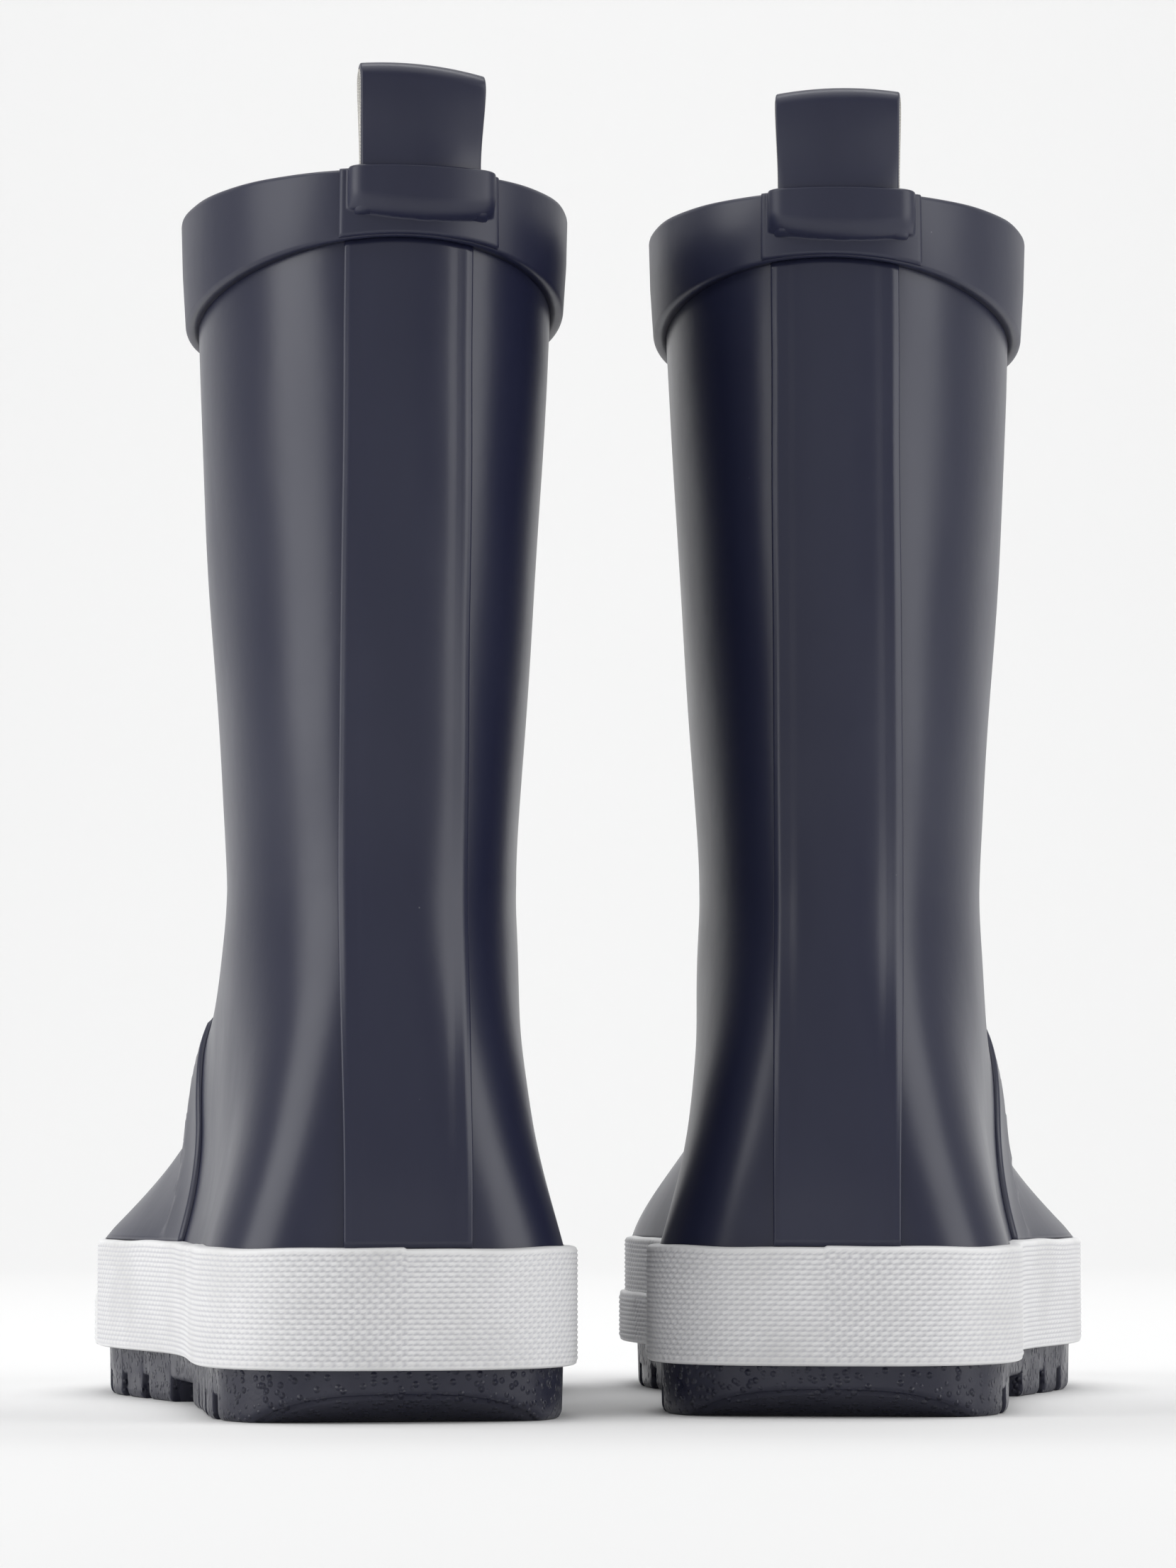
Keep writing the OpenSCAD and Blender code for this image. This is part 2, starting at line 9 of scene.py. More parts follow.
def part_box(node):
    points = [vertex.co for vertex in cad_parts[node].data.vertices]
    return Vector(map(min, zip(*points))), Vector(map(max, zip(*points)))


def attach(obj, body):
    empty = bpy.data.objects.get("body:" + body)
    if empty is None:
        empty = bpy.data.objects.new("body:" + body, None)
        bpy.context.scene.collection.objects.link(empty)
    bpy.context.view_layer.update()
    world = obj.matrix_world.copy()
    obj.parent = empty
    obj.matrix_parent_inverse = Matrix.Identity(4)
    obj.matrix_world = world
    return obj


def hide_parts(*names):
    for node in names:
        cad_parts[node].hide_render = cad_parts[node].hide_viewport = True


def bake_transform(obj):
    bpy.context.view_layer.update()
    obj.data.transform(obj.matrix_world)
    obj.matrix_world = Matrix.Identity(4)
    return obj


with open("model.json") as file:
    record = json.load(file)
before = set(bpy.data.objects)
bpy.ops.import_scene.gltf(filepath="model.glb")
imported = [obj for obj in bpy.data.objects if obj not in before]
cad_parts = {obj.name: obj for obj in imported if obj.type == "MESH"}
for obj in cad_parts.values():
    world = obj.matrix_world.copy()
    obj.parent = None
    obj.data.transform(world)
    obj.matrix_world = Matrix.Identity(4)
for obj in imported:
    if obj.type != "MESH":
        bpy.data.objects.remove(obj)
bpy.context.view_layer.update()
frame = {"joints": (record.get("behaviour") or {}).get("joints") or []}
hinge = {j["name"]: j for j in frame["joints"]}
mm = 0.001
sides = ("left", "right")


# The box of a node of the frame, in millimetres
def boxMm(node):
    return [[c / mm for c in corner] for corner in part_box(node)]


soleLow, foxTop = boxMm("left_foxing")[0][2], boxMm("left_foxing")[1][2]
collarLow, rimTop = boxMm("left_collar_band")[0][2], boxMm("left_collar_band")[1][2]
tailLow = boxMm("left_loop_anchor")[0][2]
loopTop = boxMm("left_pull_loop")[1][2]
soleTop = boxMm("left_upper")[0][2]
bedLow = boxMm("left_footbed_foam")[0][2]
bedTop = boxMm("left_footbed_cover")[1][2]
guardTop = boxMm("left_toe_guard")[1][2]

boot = {
    "footLength": 211, "heelHalf": 34.5, "flankIn": 0.1, "flankHeight": 25, "ballHalf": 47,
    "waistHalf": 33, "ankleZ": 104, "ankleHalf": 28.5, "ankleDepth": 95, "rimHalf": 36, "rimDepth": 105,
    "ankleHollow": 7, "toeSwing": 9, "upperWall": 1.8, "liningWall": 1.2, "ply": 0.9,
    "overlay": 1.0, "foxWall": 2.5, "guardWall": 1.2, "collarWall": 2.6, "strapWall": 1.8,
    "loopWidth": 23.5, "stripWidth": 24.5, "heelPower": 2.8, "patchSeat": 0.3,
}
loopY = 0.1 * boot["ankleHollow"] - boot["collarWall"] - boot["patchSeat"] - boot["strapWall"]
# How far the loop and the back strip sit off the heel's middle, in each boot's own measures
loopAt = {"left": 2.6, "right": -3.0}
stripAt = {"left": 1.0, "right": -1.9}

backLine = [
    [foxTop, 0], [foxTop + 18, 0.4], [boot["ankleZ"] - 28, 0.5 * boot["ankleHollow"]],
    [boot["ankleZ"], boot["ankleHollow"]], [boot["ankleZ"] + 30, 0.85 * boot["ankleHollow"]],
    [0.5 * (boot["ankleZ"] + rimTop) + 15, 0.4 * boot["ankleHollow"]],
    [rimTop, 0.1 * boot["ankleHollow"]],
]
shaftHalf = [
    [foxTop, boot["heelHalf"]],
    [boot["ankleZ"] - 40, 0.3 * boot["heelHalf"] + 0.7 * boot["ankleHalf"]],
    [boot["ankleZ"] - 14, boot["ankleHalf"] + 0.5], [boot["ankleZ"], boot["ankleHalf"]],
    [boot["ankleZ"] + 18, boot["ankleHalf"] + 0.9],
    [0.5 * (boot["ankleZ"] + rimTop), 0.5 * (boot["ankleHalf"] + boot["rimHalf"]) + 0.5],
    [rimTop, boot["rimHalf"]],
]
shaftDepth = [
    [foxTop, boot["ankleDepth"]], [boot["ankleZ"], boot["ankleDepth"]],
    [0.5 * (boot["ankleZ"] + rimTop), 0.4 * boot["ankleDepth"] + 0.6 * boot["rimDepth"]],
    [rimTop, boot["rimDepth"]],
]
instep = [
    [0, 1], [0.1, 0.978], [0.2, 0.918], [0.29, 0.815], [0.37, 0.68],
    [0.46, 0.505], [0.58, 0.34], [0.72, 0.175], [0.86, 0.065], [1, 0],
]
lastHalf = [
    [0, boot["heelHalf"]], [0.17, boot["heelHalf"]], [0.42, boot["waistHalf"]], [0.66, boot["ballHalf"]],
    [0.8, boot["ballHalf"] - 1.5], [1, boot["ballHalf"] - 7],
]
lastMid = [
    [0, 0], [0.2, 0], [0.42, -1.5], [0.62, 0.06 * boot["toeSwing"]],
    [0.75, 0.36 * boot["toeSwing"]], [0.9, 0.78 * boot["toeSwing"]], [1, boot["toeSwing"]],
]


# A smooth curve through stations: cubic Hermite, its slope at a station from the two beside it
def smoothAt(table, v):
    t = np.asarray(table, float)
    x, f = t[:, 0], t[:, 1]
    last = len(x) - 1
    before = np.maximum(np.arange(len(x)) - 1, 0)
    after = np.minimum(np.arange(len(x)) + 1, last)
    m = (f[after] - f[before]) / (x[after] - x[before])
    v = np.clip(v, x[0], x[-1])
    k = np.clip(np.searchsorted(x, v, side="right") - 1, 0, last - 1)
    w = x[k + 1] - x[k]
    u = (v - x[k]) / w
    ends = f[k] * (2 * u**3 - 3 * u**2 + 1) + f[k + 1] * (3 * u**2 - 2 * u**3)
    return ends + w * m[k] * (u**3 - 2 * u**2 + u) + w * m[k + 1] * (u**3 - u**2)


# 0 below lo, 1 above hi, 3u^2 - 2u^3 between
def ease(v, lo=0.0, hi=1.0):
    u = np.clip((v - lo) / (hi - lo), 0, 1)
    return u * u * (3 - 2 * u)


# Back of the boot at height z, through its stations
def backY(z):
    return smoothAt(backLine, z)


# Front of the boot at height z: the instep curve below the ankle, back plus depth above it
def frontY(z):
    ankleFront = boot["ankleHollow"] + boot["ankleDepth"]
    share = smoothAt(instep, (z - foxTop) / (boot["ankleZ"] - foxTop))
    foot = ankleFront + (boot["footLength"] - ankleFront) * share
    return np.where(z >= boot["ankleZ"], backY(z) + smoothAt(shaftDepth, z), foot)


roofHeights = np.linspace(foxTop, boot["ankleZ"], 2000)
roofPlaces = frontY(roofHeights)


# Height of the instep above place y, the front curve read the other way round
def roofZ(y):
    z = np.interp(y, roofPlaces[::-1], roofHeights[::-1])
    return np.where(y <= boot["ankleHollow"] + boot["ankleDepth"], 1e4, z)


# Half width of the last: stations times a superellipse at the heel and at the toe
def planHalf(y):
    length, heel, power = boot["footLength"], boot["heelHalf"], boot["heelPower"]
    toe = 0.26 * length
    heelEnd = np.clip(1 - np.clip(1 - y / heel, 0, 1) ** power, 0, 1) ** (1 / power)
    toeEnd = np.clip(1 - np.clip((y - length + toe) / toe, 0, 1) ** 2.3, 0, 1) ** 0.5
    return smoothAt(lastHalf, y / length) * heelEnd * toeEnd


# A point on the outside of the upper. a turns from the heel (0) by the outer side to the toe (180).
# The section is the foot's plan under its dome, passing into the shaft's ellipse towards the ankle.
def skin(a, z):
    a, z = np.broadcast_arrays(np.asarray(a, float), np.asarray(z, float))
    sn, cs = np.sin(np.radians(a)), np.cos(np.radians(a))
    side = np.where(sn >= 0, -1.0, 1.0)
    y0 = backY(z)
    y = y0 + (frontY(z) - y0) * (1 - cs) / 2
    k = ease(z, foxTop, boot["ankleZ"])
    up = np.clip((z - foxTop) / (roofZ(y) - foxTop + 1e-9), 0, 1)
    dome = np.sqrt(np.clip(1 - up ** np.where(side < 0, 1.0, 2.0), 0, 1))
    heelIn = y0 * (1 - ease(y - y0, 0, 2 * boot["heelHalf"]))
    flank = 1 - boot["flankIn"] * (1 - (1 - np.clip((z - foxTop) / boot["flankHeight"], 0, 1)) ** 2)
    half = (1 - k) * planHalf(y - heelIn) * dome * flank + k * smoothAt(shaftHalf, z) * np.abs(sn)
    x = (1 - k) * smoothAt(lastMid, y / boot["footLength"]) + side * half
    return np.stack([x, y, z], -1)


# Outward direction of the skin: cross product of its two tangents, level at the foot and at the rim
def skinOut(a, z):
    z = np.asarray(z, float)
    da = skin(a + 1.5, z) - skin(a - 1.5, z)
    dz = skin(a, np.maximum(z, foxTop) + 0.8) - skin(a, np.maximum(z, foxTop) - 0.8)
    n = np.cross(dz, da)
    level = np.maximum(ease(z, collarLow - 14, collarLow), 1 - ease(z, foxTop, foxTop + 3))
    n[..., 2] *= 1 - np.broadcast_to(level, n.shape[:-1])
    return n / np.linalg.norm(n, axis=-1, keepdims=True)


# A point at depth d under the skin, kept at its own height at the foot of the wall
def wall(a, z, d):
    a, z, d = np.broadcast_arrays(np.asarray(a, float), np.asarray(z, float), np.asarray(d, float))
    p = skin(a, np.maximum(z, foxTop)) - d[..., None] * skinOut(a, z)
    p[..., 2] += np.minimum(z - foxTop, 0)
    return p


# Turn at which the skin stands x to the side at height z, by halving
def turnAt(x, z):
    x, z = np.broadcast_arrays(np.asarray(x, float), np.asarray(z, float))
    lo, hi = np.zeros(x.shape), np.full(x.shape, 88.0)
    for _ in range(24):
        mid = (lo + hi) / 2
        short = np.abs(skin(mid, z)[..., 0]) < np.abs(x)
        lo, hi = np.where(short, mid, lo), np.where(short, hi, mid)
    return np.where(x < 0, lo, -lo)


# Turn at which the skin stands y along the boot at height z
def turnAtY(y, z):
    y0 = backY(z)
    return np.degrees(np.arccos(np.clip(1 - 2 * (y - y0) / (frontY(z) - y0), -1, 1)))


# From the boot's own millimetres to the row's metres; the right boot is the left one mirrored
def toRow(p, side):
    j = hinge[side + "_loop_flex"]
    turn = math.atan2(j["axis"][1], j["axis"][0])
    x = p[..., 0] * (1 if side == "left" else -1)
    y = p[..., 1] - loopY
    return np.stack([
        j["pos_m"][0] + (x * math.cos(turn) - y * math.sin(turn)) * mm,
        j["pos_m"][1] + (x * math.sin(turn) + y * math.cos(turn)) * mm,
        p[..., 2] * mm,
    ], -1)


# Quads between neighbouring points of a grid, wrapped round in either direction if asked
def gridFaces(rows, cols, wrapRows, wrapCols):
    rowStarts = np.arange(rows if wrapRows else rows - 1)
    colStarts = np.arange(cols if wrapCols else cols - 1)
    j, i = np.meshgrid(rowStarts, colStarts, indexing="ij")
    j2, i2 = (j + 1) % rows, (i + 1) % cols
    return np.stack([j * cols + i, j * cols + i2, j2 * cols + i2, j2 * cols + i], -1).reshape(-1, 4)


# Six times the volume that the quads enclose: its sign tells whether they face outwards
def volumeSign(points, quads):
    a, b, c, d = (points[quads[:, k]] for k in range(4))
    return np.sum(np.einsum("ij,ij->i", a, np.cross(b, c)) + np.einsum("ij,ij->i", a, np.cross(c, d)))


slotOf = {
    "upper": "upper_rubber", "vamp_overlay": "upper_rubber", "back_strip": "upper_rubber",
    "collar_band": "collar_rubber", "collar_patch": "collar_rubber",
    "loop_anchor": "loop_rubber", "pull_loop": "loop_rubber", "loop_webbing": "cotton_webbing",
    "foxing": "foxing_rubber", "toe_guard": "foxing_rubber", "outsole": "outsole_rubber",
    "lining": "lining_knit", "heel_counter": "ply_board", "toe_puff": "ply_board",
    "lasting_board": "fibre_board", "midsole_filler": "filler_cork",
    "footbed_foam": "footbed_foam", "footbed_cover": "footbed_cloth",
}
bodyOf = {"footbed_foam": "footbed", "footbed_cover": "footbed"}
bends = {"pull_loop", "loop_webbing"}


# A mesh of quads on one boot, standing for the frame's node of the same name
def makePiece(side, node, points, quads, merge=False, uv=None):
    rowPoints = toRow(points, side).reshape(-1, 3)
    if volumeSign(rowPoints - rowPoints.mean(0), quads) < 0:
        quads = quads[:, ::-1]
    name = side + "".join(word.capitalize() for word in node.split("_"))
    mesh = bpy.data.meshes.new(name)
    mesh.vertices.add(len(rowPoints))
    mesh.vertices.foreach_set("co", rowPoints.astype(np.float32).ravel())
    mesh.loops.add(quads.size)
    mesh.loops.foreach_set("vertex_index", quads.astype(np.int32).ravel())
    mesh.polygons.add(len(quads))
    mesh.polygons.foreach_set("loop_start", np.arange(0, quads.size, 4, dtype=np.int32))
    mesh.update(calc_edges=True)
    mesh.polygons.foreach_set("use_smooth", np.ones(len(quads), bool))
    if uv is not None:
        layer = mesh.uv_layers.new(name="strap")
        layer.data.foreach_set("uv", uv.reshape(-1, 2)[quads.ravel()].astype(np.float32).ravel())
    if merge:
        work = bmesh.new()
        work.from_mesh(mesh)
        bmesh.ops.remove_doubles(work, verts=work.verts, dist=4e-6)
        bmesh.ops.dissolve_degenerate(work, edges=work.edges, dist=1e-7)
        work.to_mesh(mesh)
        work.free()
    mesh.validate()
    mesh.materials.append(finish[slotOf[node]])
    piece = bpy.data.objects.new(name, mesh)
    bpy.context.scene.collection.objects.link(piece)
    if node in bends:
        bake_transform(piece)
    else:
        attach(piece, side + "_" + bodyOf.get(node, "boot"))
    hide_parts(side + "_" + node)
    return piece


# Closed ring wall: rows of rings, the last row joined to the first
def ringPiece(side, node, rings, **more):
    faces = gridFaces(*rings.shape[:2], True, True)
    return makePiece(side, node, rings.reshape(-1, 3), faces, **more)


# Rows of rings that begin and end on a middle line, whose two sides are merged into one seam
def cupPiece(side, node, rings, **more):
    faces = gridFaces(*rings.shape[:2], False, True)
    return makePiece(side, node, rings.reshape(-1, 3), faces, merge=True, **more)


# Slab between an outer and an inner grid: rows wrapped round both, the two ends of each row capped
def slabPiece(side, node, outer, inner, uv=None, **more):
    rows, cols = outer.shape[:2]
    points = np.concatenate([outer, inner[::-1]], 0)
    quads = gridFaces(2 * rows, cols, True, False)
    j = np.arange(rows - 1)
    ends = []
    for i in (0, cols - 1):
        a, b = j * cols + i, (j + 1) * cols + i
        c, d = (2 * rows - 2 - j) * cols + i, (2 * rows - 1 - j) * cols + i
        cap = np.stack([a, b, c, d], -1)
        ends.append(cap if i == 0 else cap[:, ::-1])
    faces = np.concatenate([quads] + ends, 0)
    if uv is not None:
        uv = np.concatenate([uv, uv[::-1]], 0)
    return makePiece(side, node, points.reshape(-1, 3), faces, uv=uv, **more)


# Low soft hollows and swells of the rubber, a sum of slow waves round and up the boot
def softWave(a, z, amount=0.16):
    r = np.radians(a)
    return amount * (
        np.sin(3 * r + 0.031 * z + 0.6) * np.sin(0.055 * z + 1.1)
        + 0.6 * np.sin(5 * r - 0.043 * z) * np.sin(0.083 * z + 0.4)
        + 0.35 * np.sin(9 * r + 0.021 * z + 2.0)
    )


# 1 in the middle of a strip and falling on a quarter circle to 0 over its rounded edge
def roundEdge(u, width, radius):
    t = np.clip(np.minimum(u, width - u) / radius, 0, 1)
    return np.sqrt(np.clip(1 - (1 - t) ** 2, 0, 1))


# Places across a strip, crowded into its two rounded edges
def edgeSteps(width, radius, middle):
    rim = radius * (1 - np.cos(np.linspace(0, math.pi / 2, 6)))
    return np.concatenate([rim, np.linspace(radius, width - radius, middle)[1:-1], width - rim[::-1]])


# A material with an empty shader: every finish is a node tree on Object coordinates or on the strap's map
def newFinish(name):
    material = bpy.data.materials.new(name)
    material.use_nodes = True
    tree = material.node_tree
    tree.nodes.clear()
    shader = tree.nodes.new("ShaderNodeBsdfPrincipled")
    out = tree.nodes.new("ShaderNodeOutputMaterial")
    tree.links.new(shader.outputs["BSDF"], out.inputs["Surface"])
    return material, tree, shader


# A shader node with its inputs or its settings given by name
def addNode(tree, kind, **settings):
    node = tree.nodes.new("ShaderNode" + kind)
    for key, value in settings.items():
        if key in node.inputs:
            node.inputs[key].default_value = value
        else:
            setattr(node, key, value)
    return node


# Object coordinates, in metres
def objectPlace(tree):
    return tree.nodes.new("ShaderNodeTexCoord").outputs["Object"]


# Noise on Object coordinates, its cells per metre, stretched by a scale on each axis
def noiseOn(tree, place, scale, detail, stretch=(1, 1, 1)):
    mapping = addNode(tree, "Mapping")
    mapping.inputs["Scale"].default_value = stretch
    noise = addNode(tree, "TexNoise", Scale=scale, Detail=detail, Roughness=0.55)
    tree.links.new(place, mapping.inputs["Vector"])
    tree.links.new(mapping.outputs["Vector"], noise.inputs["Vector"])
    return noise.outputs["Fac"]


# Value mapped from lo..hi to toLo..toHi, held at its ends
def spread(tree, value, lo, hi, toLo, toHi):
    node = addNode(tree, "MapRange")
    for key, number in (("From Min", lo), ("From Max", hi), ("To Min", toLo), ("To Max", toHi)):
        node.inputs[key].default_value = number
    tree.links.new(value, node.inputs["Value"])
    return node.outputs["Result"]


# first * (1 - factor) + second * factor, each a colour or another node's output
def mixColours(tree, factor, first, second):
    node = addNode(tree, "Mix", data_type="RGBA")
    tree.links.new(factor, node.inputs["Factor"])
    for socket, colour in ((node.inputs[6], first), (node.inputs[7], second)):
        if isinstance(colour, (tuple, list)):
            socket.default_value = (*colour, 1)
        else:
            tree.links.new(colour, socket)
    return node.outputs[2]


# The surface's normal tilted by a height, over another bump if given
def addBump(tree, height, distance, under=None):
    bump = addNode(tree, "Bump", Distance=distance, Strength=1.0)
    tree.links.new(height, bump.inputs["Height"])
    if under is not None:
        tree.links.new(under, bump.inputs["Normal"])
    return bump.outputs["Normal"]


# One sum or product of two values, each a number or another node's output
def mathOn(tree, operation, a, b):
    node = addNode(tree, "Math", operation=operation)
    for socket, value in zip(node.inputs, (a, b)):
        if isinstance(value, (int, float)):
            socket.default_value = value
        else:
            tree.links.new(value, socket)
    return node.outputs["Value"]


# The shader's colour from a node
def setColour(tree, shader, colour):
    tree.links.new(colour, shader.inputs["Base Color"])


# Roughness wandering from low to high on a noise
def setRough(tree, shader, noise, low, high):
    tree.links.new(spread(tree, noise, 0.3, 0.7, low, high), shader.inputs["Roughness"])


# The shader's normal from a bump
def setRelief(tree, shader, normal):
    tree.links.new(normal, shader.inputs["Normal"])


navyRubber = {
    "colour": (0.0120, 0.0138, 0.0370), "bloom": (0.026, 0.029, 0.056), "bloomShare": 0.5,
    "roughness": 0.31, "patchy": 0.035, "specular": 0.5, "peel": 0.00003,
    "dust": 0.00016, "motesPerMetre": 95.0, "mote": (0.22, 0.22, 0.24),
}


# Dipped rubber: navy with a faint bloom in clouds, an orange-peel skin, and a few motes of dust
def rubberFinish(name, look):
    material, tree, shader = newFinish(name)
    place = objectPlace(tree)
    clouds = noiseOn(tree, place, 26, 4, (1, 1, 0.35))
    fine = noiseOn(tree, place, 240, 3)
    bloomed = spread(tree, clouds, 0.38, 0.72, 0, look["bloomShare"])
    base = mixColours(tree, bloomed, look["colour"], look["bloom"])
    motes = addNode(tree, "TexVoronoi", Scale=look["motesPerMetre"])
    tree.links.new(place, motes.inputs["Vector"])
    size = look["dust"] * look["motesPerMetre"]
    mote = spread(tree, motes.outputs["Distance"], size * 0.6, size * 1.3, 1, 0)
    some = spread(tree, noiseOn(tree, place, 60, 1), 0.56, 0.62, 0, 0.55)
    setColour(tree, shader, mixColours(tree, mathOn(tree, "MULTIPLY", mote, some), base, look["mote"]))
    patches = noiseOn(tree, place, 45, 4, (1, 1, 0.5))
    setRough(tree, shader, patches, look["roughness"] - look["patchy"], look["roughness"] + look["patchy"])
    shader.inputs["Specular IOR Level"].default_value = look["specular"]
    setRelief(tree, shader, addBump(tree, fine, look["peel"]))
    return material


# shade is a painted shade colour for the hollows between the pips; soil is soiling in random clouds
foxingLook = {
    "colour": (0.86, 0.86, 0.865), "soil": (0.62, 0.62, 0.61), "shade": (0.66, 0.66, 0.69), "roughness": 0.5,
}


# Pale foxing rubber: the pips are in the mesh; the finish paints shade into the hollows between them (a
# darker colour where the surface is concave), and adds soiling and a grain
def foxingFinish(name, look):
    material, tree, shader = newFinish(name)
    place = objectPlace(tree)
    soil = spread(tree, noiseOn(tree, place, 55, 5), 0.45, 0.8, 0, 0.6)
    base = mixColours(tree, soil, look["colour"], look["soil"])
    # Painted shade: where pointiness finds a hollow between pips, the colour goes to the darker shade colour
    hollow = spread(tree, addNode(tree, "NewGeometry").outputs["Pointiness"], 0.47, 0.52, 0, 1)
    setColour(tree, shader, mixColours(tree, hollow, look["shade"], base))
    setRough(tree, shader, noiseOn(tree, place, 300, 2), look["roughness"] - 0.06, look["roughness"] + 0.08)
    setRelief(tree, shader, addBump(tree, noiseOn(tree, place, 1500, 2), 0.00003))
    return material


soleLook = {
    "colour": (0.012, 0.013, 0.030), "worn": (0.035, 0.036, 0.056), "roughness": 0.36,
    "pipsPerMetre": 620.0, "pipHeight": 0.0004,
}


# Outsole rubber: round pips where the surface cuts a cloud of small balls, and dull worn patches
def soleFinish(name, look):
    material, tree, shader = newFinish(name)
    place = objectPlace(tree)
    cells = addNode(tree, "TexVoronoi", Scale=look["pipsPerMetre"])
    tree.links.new(place, cells.inputs["Vector"])
    ball = spread(tree, cells.outputs["Distance"], 0.12, 0.42, 1, 0)
    wear = spread(tree, noiseOn(tree, place, 70, 4), 0.45, 0.75, 0, 0.5)
    setColour(tree, shader, mixColours(tree, wear, look["colour"], look["worn"]))
    setRough(tree, shader, noiseOn(tree, place, 160, 3), look["roughness"] - 0.1, look["roughness"] + 0.12)
    grain = addBump(tree, noiseOn(tree, place, 1400, 2), 0.00004)
    setRelief(tree, shader, addBump(tree, ball, look["pipHeight"], under=grain))
    return material


clothLook = {
    "knit": {
        "colour": (0.34, 0.34, 0.33), "dark": (0.20, 0.20, 0.20),
        "cells": 900.0, "height": 0.00018, "roughness": 0.85,
    },
    "cover": {
        "colour": (0.36, 0.37, 0.38), "dark": (0.22, 0.22, 0.24),
        "cells": 1200.0, "height": 0.00012, "roughness": 0.8,
    },
    "ply": {
        "colour": (0.50, 0.40, 0.27), "dark": (0.34, 0.26, 0.17),
        "cells": 1000.0, "height": 0.00012, "roughness": 0.85,
    },
}


# Cloth: two crossing sets of fine waves, one along and one across, light on the threads
def clothFinish(name, look):
    material, tree, shader = newFinish(name)
    place = objectPlace(tree)
    threads = []
    for direction in ("X", "Z"):
        scale = look["cells"] / 6.3
        wave = addNode(tree, "TexWave", Scale=scale, Distortion=0.6, bands_direction=direction)
        tree.links.new(place, wave.inputs["Vector"])
        threads.append(wave.outputs["Fac"])
    weave = mathOn(tree, "MULTIPLY", threads[0], threads[1])
    thread = spread(tree, weave, 0, 0.7, 0, 1)
    setColour(tree, shader, mixColours(tree, thread, look["dark"], look["colour"]))
    setRough(tree, shader, noiseOn(tree, place, 200, 2), look["roughness"] - 0.08, look["roughness"] + 0.05)
    shader.inputs["Sheen Weight"].default_value = 0.25
    shader.inputs["Specular IOR Level"].default_value = 0.2
    setRelief(tree, shader, addBump(tree, weave, look["height"]))
    return material


webbingLook = {"colour": (0.84, 0.82, 0.77), "dark": (0.52, 0.50, 0.46), "threads": 1.6}


# Cotton webbing: plain weave on the strap's own map, in threads per millimetre
def webbingFinish(name, look):
    material, tree, shader = newFinish(name)
    place = tree.nodes.new("ShaderNodeTexCoord").outputs["UV"]
    weave = addNode(tree, "TexChecker", Scale=look["threads"] * 2)
    tree.links.new(place, weave.inputs["Vector"])
    waves = []
    for direction in ("X", "Y"):
        wave = addNode(tree, "TexWave", Scale=look["threads"] / 3.14, bands_direction=direction)
        tree.links.new(place, wave.inputs["Vector"])
        waves.append(wave.outputs["Fac"])
    square = weave.outputs["Fac"]
    along = mathOn(tree, "MULTIPLY", waves[0], square)
    across = mathOn(tree, "MULTIPLY", waves[1], mathOn(tree, "SUBTRACT", 1.0, square))
    over = mathOn(tree, "ADD", along, across)
    setColour(tree, shader, mixColours(tree, over, look["dark"], look["colour"]))
    shader.inputs["Roughness"].default_value = 0.9
    shader.inputs["Sheen Weight"].default_value = 0.3
    setRelief(tree, shader, addBump(tree, over, 0.00025))
    return material


boardLook = {
    "board": {"colour": (0.52, 0.41, 0.27), "fleck": (0.30, 0.22, 0.14), "cells": 500.0, "share": 0.6},
    "cork": {"colour": (0.46, 0.31, 0.18), "fleck": (0.16, 0.09, 0.05), "cells": 420.0, "share": 0.9},
    "foam": {"colour": (0.10, 0.10, 0.11), "fleck": (0.17, 0.17, 0.18), "cells": 900.0, "share": 0.7},
}


# Board, cork or foam: flecks of a second colour in small cells, rough and slightly pitted
def fleckFinish(name, look):
    material, tree, shader = newFinish(name)
    place = objectPlace(tree)
    cells = addNode(tree, "TexVoronoi", Scale=look["cells"])
    tree.links.new(place, cells.inputs["Vector"])
    fleck = spread(tree, cells.outputs["Distance"], 0.25, 0.6, 0, look["share"])
    setColour(tree, shader, mixColours(tree, fleck, look["colour"], look["fleck"]))
    setRough(tree, shader, noiseOn(tree, place, 220, 3), 0.7, 0.95)
    setRelief(tree, shader, addBump(tree, cells.outputs["Distance"], 0.00015))
    return material


collarLook = dict(navyRubber, roughness=0.40, bloomShare=0.6)
loopLook = dict(navyRubber, roughness=0.36, bloomShare=0.7, dust=0.00022)
finish = {
    "upper_rubber": rubberFinish("upperRubber", navyRubber),
    "collar_rubber": rubberFinish("collarRubber", collarLook),
    "loop_rubber": rubberFinish("loopRubber", loopLook),
    "foxing_rubber": foxingFinish("foxingRubber", foxingLook),
    "outsole_rubber": soleFinish("outsoleRubber", soleLook),
    "lining_knit": clothFinish("liningKnit", clothLook["knit"]),
    "cotton_webbing": webbingFinish("cottonWebbing", webbingLook),
    "ply_board": clothFinish("plyCloth", clothLook["ply"]),
    "fibre_board": fleckFinish("fibreBoard", boardLook["board"]),
    "filler_cork": fleckFinish("groundCork", boardLook["cork"]),
    "footbed_foam": fleckFinish("footbedFoam", boardLook["foam"]),
    "footbed_cloth": clothFinish("footbedCloth", clothLook["cover"]),
}
print("finishes made", len(finish))


bond, shaftTop = 0.05, rimTop - 1.2


# Turns from heel to toe, carried on round the other side of the boot
def bothSides(turns):
    return np.concatenate([turns, 360 - turns[::-1][1:-1]])


# Turns round the boot, a share of the way from even turns to even steps along a line at depth d
def evenTurns(count, share=0.5, d=0.0):
    fine = 90 * (1 - np.cos(np.linspace(0, math.pi, 6000)))
    line = wall(fine, foxTop, d)[:, :2]
    run = np.concatenate([[0], np.cumsum(np.linalg.norm(np.diff(line, axis=0), axis=1))])
    even = np.interp(np.linspace(0, run[-1], count // 2 + 1), run, fine)
    return bothSides(share * even + (1 - share) * np.linspace(0, 180, count // 2 + 1))


